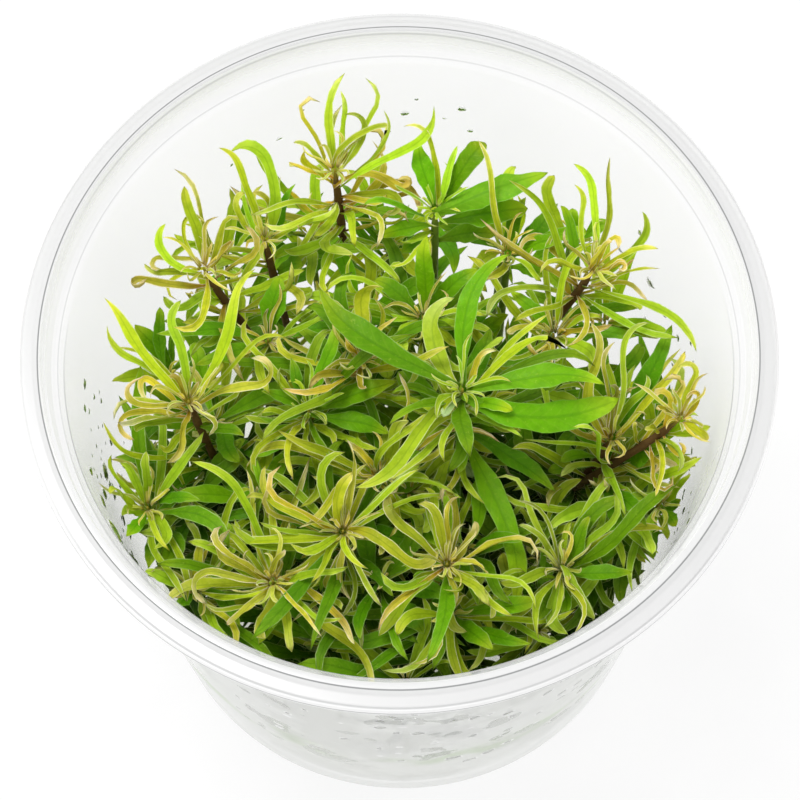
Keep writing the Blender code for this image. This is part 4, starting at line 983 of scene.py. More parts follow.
class Growth:
    """One shoot's fine mesh while it is being made, in millimetres."""

    def __init__(self):
        self.points = []
        self.faces = []
        self.tints = []
        self.across = []
        self.along = []
        self.insets = []
        self.rims = []
        self.count = 0

    def add(self, points, faces, tints, across, along, inset, rim):
        self.points.append(points)
        self.faces.extend([tuple(self.count + index for index in face) for face in faces])
        self.tints.append(tints)
        self.across.append(across)
        self.along.append(along)
        self.insets.append(inset)
        self.rims.append(np.full(len(points), rim))
        self.count += len(points)

    def add_tube(self, rings, tints):
        """A closed tube through rings of points, which run anticlockwise as seen from its end."""
        rows, sides, _ = rings.shape
        faces = ring_faces(rows, sides)
        faces.append(tuple(range(sides - 1, -1, -1)))
        faces.append(tuple((rows - 1) * sides + side for side in range(sides)))
        count = rows * sides
        tint = np.repeat(tints, sides, axis=0)
        plain = np.full(count, 0.5)
        self.add(rings.reshape(count, 3), faces, tint, plain, plain, plain, 0.0)

    def add_blade(self, frames, width, style, chance, fine):
        """A closed thin leaf along its frames, with a grooved midrib and a soft outline."""
        upper, lower = (FINE_UPPER, FINE_LOWER) if fine else (PLAIN_UPPER, PLAIN_LOWER)
        across = np.array(upper + lower)
        below = np.array([0.0] * len(upper) + [1.0] * len(lower))
        shares = np.linspace(0, 1, len(frames))
        middle, side, rise = curl_frames(frames, shares, style, chance)
        fold = blade_fold(style, shares, chance)
        half = outline(style, shares, chance)[:, None] * width / 2 / np.maximum(np.cos(fold), 0.7)
        half = half * np.where(across < 0, uneven_edge(shares, chance), uneven_edge(shares, chance))
        height = blade_lift(style, shares, across, half, fold, chance)
        height = height - blade_depth(shares, across, half / (width / 2)) * below
        points = middle[:, None] + side[:, None] * (half * np.cos(fold) * across)[..., None]
        points = keep_in_cup(points + rise[:, None] * height[..., None])
        # Painted light and shade by place are multiplied into the blade's tints.
        tints = np.minimum(blade_tints(style, shares, chance) * paint_light_and_shade(middle, style), 1)
        rows = len(frames) - 1
        sides = len(across)
        pale = np.tile(below, rows)[:, None] * UNDERSIDE_SHARE
        ring_tints = blend_tints(np.repeat(tints[:rows], sides, axis=0), UNDERSIDE_TINT, pale)
        inset = half * (1 - np.abs(across))
        self.add(
            np.concatenate((points[:rows].reshape(rows * sides, 3), keep_in_cup(middle[-1:]))),
            blade_faces(rows, sides),
            np.concatenate((ring_tints, tints[-1:])),
            np.concatenate((np.tile(across, rows), (0.8,))),
            np.concatenate((np.repeat(shares[:rows], sides), (1.0,))),
            np.concatenate((inset[:rows].ravel(), (0.1,))),
            style.rim * chance.uniform(*RIM_SPREAD),
        )

    def make(self, name, material):
        """Makes the object, with its colours and where on its blade each point lies."""
        obj = new_object(name, np.concatenate(self.points), self.faces, material)
        mesh = obj.data
        tints = np.concatenate(self.tints)
        colours = np.concatenate((tints, np.ones((len(tints), 1))), axis=1)
        # The tint attribute carries the leaves' own colours with their painted light and shade.
        tint = mesh.attributes.new("tint", "FLOAT_COLOR", "POINT")
        tint.data.foreach_set("color", colours.astype(np.float32).ravel())
        numbers = (self.across, self.along, self.insets, self.rims)
        for key, values in zip(("across", "along", "inset", "rim"), numbers):
            layer = mesh.attributes.new(key, "FLOAT", "POINT")
            layer.data.foreach_set("value", np.concatenate(values).astype(np.float32))
        mesh.polygons.foreach_set("use_smooth", [True] * len(mesh.polygons))
        ends = np.empty(len(mesh.edges) * 2, dtype=np.int32)
        mesh.edges.foreach_get("vertices", ends)
        margin = np.abs(np.concatenate(self.across))[ends.reshape(-1, 2)].min(axis=1) > 0.99
        mesh.edges.foreach_set("use_edge_sharp", margin)
        return obj


def ring_faces(rows, sides):
    """Quads between neighbouring rings of a tube."""
    faces = []
    for row in range(rows - 1):
        for side in range(sides):
            a, b = row * sides + side, row * sides + (side + 1) % sides
            faces.append((a, b, b + sides, a + sides))
    return faces


def cone_faces(start, sides, peak):
    """Triangles from a ring, which starts at a number, to a peak."""
    return [(start + side, start + (side + 1) % sides, peak) for side in range(sides)]


def blade_faces(rows, sides):
    """The faces of a closed blade, which has rings of points and ends in one point."""
    faces = [face[::-1] for face in ring_faces(rows, sides)]
    faces.append(tuple(range(sides)))
    faces.extend(face[::-1] for face in cone_faces((rows - 1) * sides, sides, rows * sides))
    return faces


def blade_fold(style, shares, chance):
    """How far a blade's halves stand up, along its length."""
    fold = math.radians(chance.uniform(*style.fold)) * smooth(shares, 0, FULL_FOLD)[:, None]
    return fold * (0.75 + 0.35 * wave(shares, chance, 3, 7))[:, None]


def blade_lift(style, shares, across, half, fold, chance):
    """How far the blade's upper side stands above its middle line."""
    spread = np.abs(across)
    ruffle = style.ruffle * wave(shares, chance, 14, 24)
    lift = half * (np.sin(fold) * spread ** 1.25 + PILLOW * np.sin(math.pi * spread))
    return lift + half * ruffle[:, None] * across ** 3


def blade_depth(shares, across, fullness):
    """How far the blade's lower side lies below its upper side."""
    thickness = THINNEST_SHARE + (1 - THINNEST_SHARE) * np.minimum(fullness, 1)
    depth = BLADE_THICKNESS * thickness * (1 - EDGE_THINNING * across ** 2)
    midrib = np.clip(1 - np.abs(across) / MIDRIB_WIDTH, 0, 1)
    return depth + MIDRIB_DEPTH * midrib * (1 - shares[:, None])


def outline(style, shares, chance):
    """The blade's half width, as a share of its fullest, at shares of its length."""
    full_from, full_to, neck, blunt = style.outline
    full_from += chance.uniform(*FULL_FROM_SPREAD)
    full_to = max(full_to + chance.uniform(*FULL_TO_SPREAD), full_from + SHORTEST_FULL)
    blunt *= chance.uniform(*BLUNT_SPREAD)
    widening = neck + (1 - neck) * smooth(shares, 0, full_from)
    fall = np.clip((shares - full_to) / (1 - full_to), 0, 1)
    uneven = 1 + 0.08 * wave(shares, chance, 7, 12)
    return widening * (1 - fall ** 2.2) ** blunt * uneven


def uneven_edge(shares, chance):
    """How far one edge of a blade stands in and out, along its length."""
    slow = 0.07 * wave(shares, chance, 8, 14)
    quick = 0.05 * wave(shares, chance, 22, 34)
    return (1 + slow + quick)[:, None]


def curl_frames(frames, shares, style, chance):
    """Twists a blade about its length, lets it wander from its smooth curve and hooks its tip."""
    middle, side, rise = (np.array([frame[axis] for frame in frames], float) for axis in range(3))
    turn = math.radians(style.twist) * chance.uniform(-1, 1)
    wobble = math.radians(style.twist) * 0.5 * chance.uniform(-1, 1)
    angle = turn * shares ** 1.3 + wobble * np.sin(shares * math.tau)
    cosine, sine = np.cos(angle)[:, None], np.sin(angle)[:, None]
    curl = style.curl * math.dist(middle[0], middle[-1])
    swing = shares ** 0.7 * wave(shares, chance, 2.5, 6, WANDER_PHASES)
    sway = shares ** 0.7 * wave(shares, chance, 2.5, 7, WANDER_PHASES)
    swing = swing * curl * chance.choice((-1, 1)) * chance.uniform(0.3, 1)
    sway = sway * curl * chance.uniform(-0.6, 0.6)
    middle = middle + side * swing[:, None] + rise * sway[:, None]
    lean = chance.uniform(-HOOK_LEAN, HOOK_LEAN)
    pole = side[-1] * math.sin(lean) + rise[-1] * math.cos(lean) * chance.choice((-1, 1))
    hook = math.radians(style.hook) * chance.uniform(0.1, 1)
    bend = hook * smooth(shares, chance.uniform(0.45, 0.7), 1.05)
    steps = spin(np.diff(middle, axis=0), pole, bend[1:])
    middle = np.concatenate((middle[:1], middle[:1] + np.cumsum(steps, axis=0)))
    side, rise = side * cosine + rise * sine, rise * cosine - side * sine
    return middle, spin(side, pole, bend), spin(rise, pole, bend)


def spin(vectors, pole, angles):
    """Turns each vector about a pole by its own angle."""
    cosine, sine = np.cos(angles)[:, None], np.sin(angles)[:, None]
    along = (vectors @ pole)[:, None] * pole
    return vectors * cosine + np.cross(pole, vectors) * sine + along * (1 - cosine)


def blade_tints(style, shares, chance):
    """The colour along a blade: its foot, its body and its tip, each leaf a little different."""
    foot_share = (1 - smooth(shares, 0.02, 0.28))[:, None]
    tip_share = smooth(shares, chance.uniform(0.55, 0.75), 1.0)[:, None]
    tints = blend_tints(style.body, style.tip, tip_share)
    tints = blend_tints(tints, style.foot, foot_share)
    light = chance.uniform(*LIGHT_SPREAD)
    warm = chance.uniform(*WARM_SPREAD)
    return np.clip(tints * light * np.array((1 + warm, 1, 1 - warm)), 0, 1)


def paint_light_and_shade(middle, style):
    """Paints shade on leaves low in the cup, darker and greener, and light from the far wall on those
    far back.
    """
    lift = np.clip(middle[:, 1] * 0.8 + np.abs(middle[:, 0]) * 0.45 - 8, 0, 20)
    # The painted shade fades with height, and sooner far back and to the sides; young is that fade, not
    # the leaf's age.
    young = smooth(middle[:, 2] + lift, *PAINTED_SHADE_HEIGHTS)[:, None]
    painted_back_glow = 0.15 if style.body[0] < GREENEST else 0.12
    lit = 1.06 + painted_back_glow * smooth(middle[:, 1], *PAINTED_LIGHT_PLACES)[:, None]
    return blend_tints(PAINTED_SHADE, (1.0, 1.0, 1.0), young) * lit


def keep_in_cup(points):
    """Moves a blade's points that would touch the wall or stand above the rim back inside the cup."""
    height = np.minimum(points[..., 2], CREST_HEIGHT - TOP_GAP)
    flat = np.hypot(points[..., 0], points[..., 1])
    share = np.minimum(1, (inner_radius(height) - GAP) / np.maximum(flat, 1))
    return np.stack((points[..., 0] * share, points[..., 1] * share, height), axis=-1)


class Room:
    """Cells of the cup's space that something already fills."""

    def __init__(self):
        self.cells = set()

    def keys(self, frames, width, first):
        found = set()
        for point, side, _ in frames[first:]:
            for across in (-0.35, 0, 0.35):
                place = point + side * (across * width)
                found.add((int(place.x // CELL), int(place.y // CELL), int(place.z // CELL)))
        return found

    def fits(self, frames, width, crowding):
        """Whether few of a blade's cells are taken and all of it is inside the cup."""
        for point, _, _ in frames[2:]:
            if math.hypot(point.x, point.y) > inner_radius(point.z) - GAP - width / 2:
                return False
            if not GEL_TOP + 1 < point.z < CREST_HEIGHT - TOP_CLEARANCE:
                return False
        keys = self.keys(frames, width, 6)
        return len(keys & self.cells) <= crowding * len(keys)

    def take(self, frames, width):
        self.cells |= self.keys(frames, width, 5)

    def keep_in_sight(self, frames, width):
        """Fills the space between a leaf or stem and the camera, so that no extra leaf covers it."""
        toward = (EYE - frames[-1][0]).normalized()
        for step in range(1, SIGHT_STEPS):
            raised = [(point + toward * (CELL * step), side, rise) for point, side, rise in frames]
            self.cells |= self.keys(raised, width, 0)


def extra_face(stem, distance, azimuth):
    """A place on the round stem for an extra leaf, as Stem.face gives for a CAD leaf."""
    centre, axis = stem.below_crown(distance)
    outward = heading(azimuth, 0)
    outward = (outward - axis * outward.dot(axis)).normalized()
    return centre + outward * stem.radius * 0.7, outward, axis.cross(outward), axis


def grow_extra_leaf(room, stem, growth, distance, azimuth, size, style, chance, crowding):
    """Adds one leaf that the CAD model leaves out, where there is room for it."""
    reach, width, rise, droop = size
    for turn in EXTRA_TURNS:
        face = extra_face(stem, distance, azimuth + turn)
        tip = face[0] + heading(azimuth + turn, rise * EXTRA_RISE_SHARE) * reach
        frames = leaf_frames(face, tip, rise, droop, chance.uniform(-30, 30))
        if room.fits(frames, width, crowding):
            room.take(frames, width)
            growth.add_blade(frames[::2], width, style, chance, fine=False)
            return True
    return False


def grow_buds(room, stem, growth, chance, tall):
    """Young leaves that stand close together in the heart of the crown."""
    style = STYLES["lime" if stem.name in GREEN_CROWNS else "young"]
    for turn in range(TALL_BUDS if tall else SMALL_BUDS):
        azimuth = turn * CROWN_TURN + chance.uniform(-20, 20)
        reach = (FIRST_BUD + turn * BUD_GROWTH) * chance.uniform(0.8, 1.2)
        size = (reach, *pick_each(chance, BUD_SPANS))
        grow_extra_leaf(room, stem, growth, 0.1, azimuth, size, style, chance, 1.0)


def crown_tones(stem):
    """The tones of the narrow leaves in a crown, which follow the CAD model's leaves."""
    if stem.name in GREEN_CROWNS:
        return ["deep", "lime"]
    return sorted({leaf.tone for _, _, leaf in stem.leaves if leaf.tone != "green"}) or ["lime"]


def grow_arches(room, stem, growth, chance, tall):
    """Narrow leaves that arch out of the crown."""
    tones = crown_tones(stem)
    plain = PLAIN_CROWN if tall else SMALL_CROWN
    if stem.name in BROWN_STEMS:
        plain = BARE_CROWN
    count, deepest = CROWN_LEAVES.get(stem.name, plain)
    lengths = SHORT_ARCHES if count < FEW_ARCHES else LONG_ARCHES
    for turn in range(count):
        size = pick_each(chance, (lengths, *ARCH_SPANS))
        style = STYLES[chance.choice(tones)]
        depth = chance.uniform(CROWN_TOP, deepest)
        azimuth = turn * CROWN_TURN + chance.uniform(-40, 40)
        grow_extra_leaf(room, stem, growth, depth, azimuth, size, style, chance, CROWN_CROWDING)


def pick_low_leaf(chance):
    """A style, and a length, width, rise and droop that suit it."""
    pick = chance.random()
    for tone, likely, *spans in LOW_LEAVES:
        if pick < likely:
            break
        pick -= likely
    return STYLES[tone], pick_each(chance, spans)


def grow_low_whorls(room, stem, growth, chance, tall):
    """Leaves down the stem: broad straps, narrow ones and short spoons, at every angle."""
    bare = tall and stem.name in BROWN_STEMS
    distance = stem.drops[-1] + 4.0 if bare else 2.0
    while True:
        centre, _ = stem.below_crown(distance)
        if centre.z < (LOWEST_LEAF if centre.y > 0 else LOWEST_NEAR_LEAF):
            return
        first = chance.uniform(0, 360)
        count = LOW_WHORL
        if centre.y + 0.5 * abs(centre.x) > SPARSE_BACK:
            count = 0 if tall or centre.x > 5 else SPARSE_WHORL
        for turn in range(count):
            style, size = pick_low_leaf(chance)
            azimuth = first + turn * 360 / count + chance.uniform(-30, 30)
            grow_extra_leaf(room, stem, growth, distance, azimuth, size, style, chance, LOW_CROWDING)
        distance += WHORL_STEP * chance.uniform(0.6, 1.1)


def build_fine_stem(stem, growth):
    """A round stem with a swelling at each whorl, from its foot in the gel to its crown."""
    length = stem.length()
    count = max(int(length / STEM_RING_STEP), 8)
    angles = np.arange(STEM_RING_SIDES) * math.tau / STEM_RING_SIDES
    rings, tints = [], []
    top = STEM_BROWN if stem.name in BROWN_STEMS else STEM_GREEN
    places = [(Vector((*stem.foot, GEL_TOP - ROOT_DEPTH)), UP, length + ROOT_DEPTH)]
    for step in range(count, -1, -1):
        distance = length * step / count
        places.append((*stem.below_crown(distance), distance))
    for centre, axis, distance in places:
        near = min(abs(distance - drop - NODE_BAND / 2) for drop in stem.drops)
        swell = 1 + NODE_BULGE * math.exp(-((near / NODE_BULGE_LENGTH) ** 2))
        taper = 0.15 + 0.58 * float(smooth(distance, -1, 6))
        tilt = UP.rotation_difference(axis)
        corners = [tilt @ Vector((math.cos(angle), math.sin(angle), 0)) for angle in angles]
        rings.append([centre + corner * stem.radius * swell * taper for corner in corners])
        tint = blend_tints(top, STEM_PALE, float(smooth(distance, 16, 50)))
        tints.append(blend_tints(STEM_TIP, tint, float(smooth(distance, 0, 3))))
    growth.add_tube(np.array(rings, float), np.array(tints, float))


def reserve_room(stems):
    """The space that the CAD model's leaves fill, and what is kept free to show some of them."""
    room = Room()
    for stem in stems:
        for _, frames, leaf in stem.leaves:
            room.take(frames, leaf.width)
            if leaf.tone == "green" and leaf.width >= BROAD_LEAF:
                room.keep_in_sight(frames[3:], leaf.width)
        if stem.name in BROWN_STEMS:
            spine = [stem.below_crown(distance)[0] for distance in range(2, BARE_LENGTH)]
            room.keep_in_sight([(point, Vector((0.6, 0, 0)), UP) for point in spine], BARE_WIDTH)
    return room


def grow_fine_leaf(stem, growth, frames, leaf, chance, tall):
    """The fine blade of one leaf of the CAD model."""
    tone = leaf.tone
    if not tall and tone == "green" and chance.random() < SPOON_SHARE:
        tone = "spoon"
    style = STYLES[tone]
    width = leaf.width * (1 if tone in ("green", "spoon") else STRAP_NARROWING)
    if stem.name in BROWN_STEMS and tone != "green":
        style = style._replace(curl=style.curl * WILD_CURL, hook=style.hook * WILD_CURL)
        width *= WILD_NARROWING
    growth.add_blade(frames, width, style, chance, fine=True)


def grow_fine_shoots(tall, small, materials):
    """One fine piece in the place of each shoot of the CAD model."""
    room = reserve_room(tall + small)
    for number, stem in enumerate(tall + small):
        chance = random.Random(500 + number)
        growth = Growth()
        build_fine_stem(stem, growth)
        is_tall = number < len(tall)
        for _, frames, leaf in stem.leaves:
            grow_fine_leaf(stem, growth, frames, leaf, chance, is_tall)
        grow_buds(room, stem, growth, chance, is_tall)
        grow_arches(room, stem, growth, chance, is_tall)
        grow_low_whorls(room, stem, growth, chance, is_tall)
        slot = slot_of(stem.name)
        piece = growth.make("fine_" + stem.name, materials[slot])
        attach(piece, "root")
        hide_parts(stem.name)


def slot_of(node):
    for entry in frame["record"]["subparts"]:
        if entry["node"] == node:
            return entry["material_slot"]
    raise ValueError(f"no material slot for {node}")


def rounded(profile, radius):
    """The profile with each of its corners, but not its ends, turned into a small arc."""
    points = [Vector(profile[0])]
    for before, corner, after in zip(profile, profile[1:], profile[2:]):
        before, corner, after = Vector(before), Vector(corner), Vector(after)
        room = min((before - corner).length, (after - corner).length) * CORNER_ROOM
        cut = min(radius, room)
        start = corner + (before - corner).normalized() * cut
        end = corner + (after - corner).normalized() * cut
        for step in range(CORNER_POINTS + 1):
            share = step / CORNER_POINTS
            points.append(start.lerp(corner, share).lerp(corner.lerp(end, share), share))
    points.append(Vector(profile[-1]))
    return points


def turned_piece(name, profile, material, node):
    """Turns a profile that starts and ends on the axis about that axis, as one closed piece."""
    turns = [math.tau * step / CUP_STEPS for step in range(CUP_STEPS)]
    points = [(r * math.cos(turn), r * math.sin(turn), z) for r, z in profile[1:-1] for turn in turns]
    points += [(0, 0, profile[0][1]), (0, 0, profile[-1][1])]
    rows = len(profile) - 2
    count = rows * CUP_STEPS
    faces = [face[::-1] for face in ring_faces(rows, CUP_STEPS)]
    faces.extend(cone_faces(0, CUP_STEPS, count))
    faces.extend(face[::-1] for face in cone_faces(count - CUP_STEPS, CUP_STEPS, count + 1))
    obj = new_object(name, points, faces, material)
    obj.data.polygons.foreach_set("use_smooth", [True] * len(faces))
    obj.data.validate()
    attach(obj, "root")
    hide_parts(node)


def cup_profile():
    """Radius and height from the floor's middle, up the inside, over the rim and down the outside."""
    ledge = MOUTH_RADIUS + LEDGE_WIDTH
    rim_under = FLANGE_HEIGHT - WALL
    foot = BASE_RADIUS - BASE_CORNER
    return (
        (0, FLOOR_TOP),
        (inner_radius(FLOOR_TOP) - FLOOR_CORNER, FLOOR_TOP),
        (inner_radius(FLOOR_TOP + FLOOR_CORNER), FLOOR_TOP + FLOOR_CORNER),
        (MOUTH_RADIUS, SHOULDER_HEIGHT),
        (ledge, SHOULDER_HEIGHT + SHOULDER_RISE),
        (CREST_RADIUS - CREST_WIDTH, CREST_HEIGHT),
        (CREST_RADIUS, CREST_HEIGHT),
        (CREST_RADIUS + CREST_SLOPE, FLANGE_HEIGHT),
        (FLANGE_RADIUS - FLANGE_EDGE, FLANGE_HEIGHT),
        (FLANGE_RADIUS, FLANGE_HEIGHT - FLANGE_EDGE),
        (FLANGE_RADIUS, FLANGE_HEIGHT - SKIRT_DEPTH),
        (FLANGE_RADIUS - WALL, FLANGE_HEIGHT - SKIRT_DEPTH),
        (FLANGE_RADIUS - WALL, rim_under),
        (CREST_RADIUS, rim_under),
        (ledge + WALL, SHOULDER_HEIGHT),
        (MOUTH_RADIUS + WALL, SHOULDER_HEIGHT - WALL),
        (outer_radius(FLOOR_CORNER), FLOOR_CORNER),
        (foot, 0),
        (foot - FOOT_WIDTH, 0),
        (foot - FOOT_WIDTH - BASE_RECESS / 2, BASE_RECESS),
        (0, BASE_RECESS),
    )


def gel_profile():
    """Radius and height from the middle of the gel's top, over its raised edge to its underside."""
    top = GEL_TOP + MENISCUS
    bottom = FLOOR_TOP + GAP
    shoulder = bottom + GEL_CORNER
    return (
        (0, GEL_TOP),
        (inner_radius(top) - GAP - MENISCUS_WIDTH, GEL_TOP),
        (inner_radius(top) - GAP, top),
        (inner_radius(shoulder) - GAP, shoulder),
        (inner_radius(bottom) - GAP - GEL_CORNER, bottom),
        (0, bottom),
    )


class Graph:
    """A material's nodes, added one after another."""

    def __init__(self, name):
        self.material = bpy.data.materials.new(name)
        self.material.use_nodes = True
        self.nodes = self.material.node_tree.nodes
        self.links = self.material.node_tree.links
        self.shader = self.nodes["Principled BSDF"]
        self.output = self.nodes["Material Output"]

    def add(self, kind, settings=None, **inputs):
        node = self.nodes.new(kind)
        for key, value in (settings or {}).items():
            setattr(node, key, value)
        for key, value in inputs.items():
            self.feed(node, key.replace("_", " "), value)
        return node

    def feed(self, node, socket, value):
        """Sets a socket to a number or colour, or links another node's socket to it."""
        target = node.inputs[int(socket)] if socket.isdigit() else node.inputs[socket]
        if isinstance(value, bpy.types.NodeSocket):
            self.links.new(value, target)
        else:
            target.default_value = value

    def math(self, operation, first, second=0.0, third=0.0):
        node = self.add("ShaderNodeMath", {"operation": operation})
        for socket, value in (("0", first), ("1", second), ("2", third)):
            self.feed(node, socket, value)
        return node.outputs[0]

    def product(self, first, *others):
        for other in others:
            first = self.math("MULTIPLY", first, other)
        return first

    def most(self, first, second):
        return self.math("MAXIMUM", first, second)

    def ramp(self, value, low, high, start=0.0, end=1.0):
        """Goes softly from start to end while the value goes from low to high."""
        node = self.add("ShaderNodeMapRange", {"interpolation_type": "SMOOTHSTEP"}, Value=value)
        for key, number in (("From Min", low), ("From Max", high), ("To Min", start), ("To Max", end)):
            self.feed(node, key, number)
        return node.outputs[0]

    def span(self, value, low, high, start=0.0, end=1.0):
        """A ramp between two lengths in millimetres."""
        return self.ramp(value, low * MM, high * MM, start, end)

    def off(self, value, centre):
        """How far a length is from one in millimetres."""
        return self.math("ABSOLUTE", self.math("SUBTRACT", value, centre * MM))

    def mix(self, share, first, second, blend="MIX"):
        node = self.add("ShaderNodeMix", {"data_type": "RGBA", "blend_type": blend})
        self.feed(node, "0", share)
        self.feed(node, "6", first)
        self.feed(node, "7", second)
        return node.outputs[2]

    def noise(self, scale, detail=3.0, rough=0.5, where=None):
        node = self.add("ShaderNodeTexNoise", Scale=scale, Detail=detail, Roughness=rough)
        if where is None:
            where = self.add("ShaderNodeTexCoord").outputs["Object"]
        self.feed(node, "Vector", where)
        return node.outputs[0]

    def attribute(self, name, output="Fac"):
        return self.add("ShaderNodeAttribute", {"attribute_name": name}).outputs[output]

    def bump(self, strength, depth, height):
        """Bumps the shader, with a depth in millimetres, and gives the bumped normal."""
        node = self.add("ShaderNodeBump", Strength=strength, Distance=depth * MM, Height=height)
        self.feed(self.shader, "Normal", node.outputs[0])
        return node.outputs[0]

    def show_mix(self, share, first, second):
        """Shows a share of the second shader over the first one."""
        mixed = self.add("ShaderNodeMixShader")
        for socket, value in (("0", share), ("1", first.outputs[0]), ("2", second.outputs[0])):
            self.feed(mixed, socket, value)
        self.feed(self.output, "Surface", mixed.outputs[0])


def leaf_edge(graph, fine):
    """How pale the blade is at its margin, which is broken here and there."""
    inset = graph.math("MULTIPLY_ADD", fine, 0.14, graph.attribute("inset"))
    edge = graph.ramp(inset, 0.12, 0.23, 1.0, 0.0)
    edge = graph.product(edge, graph.ramp(graph.noise(420, 2), 0.36, 0.54, 0.35, 1.0))
    return graph.product(edge, graph.attribute("rim"))


def leaf_veins(graph, fine, spread):
    """Faint veins that slant from the midrib towards the tip."""
    vein = graph.math("ADD", graph.product(graph.attribute("along"), 75.0), graph.product(spread, -9.0))
    vein = graph.math("SINE", graph.math("ADD", vein, graph.product(fine, 3.0)))
    return graph.ramp(vein, 0.55, 1.0)


def leaf_colour(graph, vein, midrib, edge):
    """The blade's tint with mottling, painted glints as small light specks, a darker midrib and a pale
    margin.
    """
    # The tint carries painted light and shade along with the leaf's own colours.
    tint = graph.attribute("tint", "Color")
    mottle = graph.ramp(graph.noise(700, 4, 0.6), 0.35, 0.68)
    # Painted glints: small light specks that stand in for sheen.
    painted_glint = graph.ramp(graph.noise(1700, 3, 0.6), 0.60, 0.72)
    dark = graph.mix(1.0, tint, (0.60, 0.70, 0.46, 1), "MULTIPLY")
    parts = graph.add("ShaderNodeSeparateColor", Color=tint)
    ripe = graph.ramp(graph.math("DIVIDE", parts.outputs[0], parts.outputs[1]), 0.55, 1.0)
    light = graph.mix(0.30, tint, graph.mix(ripe, (0.80, 0.86, 0.12, 1), (0.90, 0.76, 0.24, 1)))
    cream = graph.mix(0.85, tint, graph.mix(ripe, (0.80, 0.93, 0.44, 1), (1.0, 0.95, 0.76, 1)))
    colour = graph.mix(graph.product(mottle, 0.50), tint, dark)
    colour = graph.mix(graph.product(vein, 0.12), colour, light)
    colour = graph.mix(graph.product(painted_glint, 0.45), colour, light)
    colour = graph.mix(graph.product(midrib, 0.55), colour, dark)
    return graph.mix(edge, colour, cream)


def leaf_material(name, gloss, thin):
    """A satin leaf that lets some light through."""
    graph = Graph(name)
    spread = graph.math("ABSOLUTE", graph.attribute("across"))
    fine = graph.noise(2600, 2, 0.5)
    midrib = graph.ramp(spread, 0.04, 0.16, 1.0, 0.0)
    vein = leaf_veins(graph, fine, spread)
    colour = leaf_colour(graph, vein, midrib, leaf_edge(graph, fine))
    height = graph.math("SUBTRACT", graph.product(fine, 0.6), graph.product(vein, 0.3))
    normal = graph.bump(0.35, 0.12, graph.math("SUBTRACT", height, midrib))
    graph.feed(graph.shader, "Base Color", colour)
    graph.feed(graph.shader, "Roughness", graph.ramp(fine, 0.3, 0.7, gloss, gloss + 0.16))
    graph.feed(graph.shader, "Specular IOR Level", 0.15)
    through = graph.mix(1.0, colour, (1.0, 0.95, 0.62, 1), "MULTIPLY")
    sheer = graph.add("ShaderNodeBsdfTranslucent", Color=through, Normal=normal)
    graph.show_mix(thin, graph.shader, sheer)
    return graph.material


def skirt_line(graph, height, radius, above, width, strength, first):
    """A line round the skirt, from its middle out to its width."""
    line = graph.span(graph.off(height, FLANGE_HEIGHT - SKIRT_DEPTH + above), 0.08, width, strength, 0.0)
    return graph.product(line, graph.span(radius, first, first + 0.3))


def paint_rim_lines(graph, height, radius, back):
    """How dark the painted lines at the rim's moulded corners and the skirt's painted shadow are."""
    edges = skirt_line(graph, height, radius, *SKIRT_SHADOW)
    for ring, width, low, strength, fade in PAINTED_RIM_LINES:
        line = graph.span(graph.off(radius, ring), width * 0.4, width, strength, 0.0)
        line = graph.product(line, graph.span(height, low - 0.1, low + 0.1))
        if fade:
            line = graph.product(line, graph.span(back, *fade))
        edges = graph.most(edges, line)
    return edges


def wall_drops(graph, where, above):
    """Small drops on the wall, and a painted highlight ring round some of them."""
    bent = graph.add("ShaderNodeVectorMath", {"operation": "MULTIPLY_ADD"}, **{"0": graph.noise(300, 2)})
    graph.feed(bent, "1", (1.5 * MM, 1.5 * MM, 1.5 * MM))
    graph.feed(bent, "2", where)
    cells = graph.add("ShaderNodeTexVoronoi", Scale=400.0, Vector=bent.outputs[0])
    chosen = graph.add("ShaderNodeSeparateColor", Color=cells.outputs["Color"]).outputs[0]
    reach = graph.ramp(chosen, 0.70, 1.0, 0.0, 0.42)
    inward = graph.math("SUBTRACT", reach, cells.outputs["Distance"])
    drops = graph.product(graph.ramp(inward, 0.0, 0.08), above)
    # The ring is a painted highlight round a drop.
    ring = graph.ramp(graph.math("ABSOLUTE", inward), 0.03, 0.13, 1.0, 0.0)
    return drops, graph.product(ring, above, graph.ramp(chosen, 0.73, 0.78))


def wall_mist(graph, near, above, drops):
    """Mist on the near side of the wall, thinner in drops and where it has been wiped."""
    cloud = graph.ramp(graph.noise(60, 3, 0.5), 0.40, 0.60, 0.65, 1.0)
    wiped = graph.product(graph.ramp(graph.noise(130, 2, 0.5), 0.60, 0.63), above)
    clear_spots = graph.most(graph.product(wiped, 0.7), graph.product(drops, 0.95))
    return graph.product(cloud, near, graph.ramp(clear_spots, 0, 1, 1.0, 0.0))


def plastic_white(graph, height, near, painted_shine):
    """The plastic's colour: white, greyer where it has mist, with painted grey where it lies level, a
    painted green reflection low down and painted white shine.
    """
    normal = graph.add("ShaderNodeNewGeometry").outputs["Normal"]
    level = graph.math("ABSOLUTE", graph.add("ShaderNodeSeparateXYZ", Vector=normal).outputs[2])
    # Painted shade: level faces are painted grey to offset the stronger light that they get from above.
    white = graph.mix(graph.ramp(level, 0.5, 0.95), WALL_WHITE, LEVEL_PAINTED_GREY)
    white = graph.mix(near, white, MIST_WHITE)
    # Painted reflection: a green band of the leaves, low on the near wall.
    low_band = graph.product(graph.span(graph.off(height, PAINTED_REFLECTION_HEIGHT), 1, 6, 0.7, 0.0), near)
    painted_reflection = graph.product(graph.ramp(graph.noise(75, 2), 0.46, 0.60), low_band)
    white = graph.mix(painted_reflection, white, PAINTED_REFLECTION_GREEN)
    return graph.mix(painted_shine, white, PURE_WHITE)


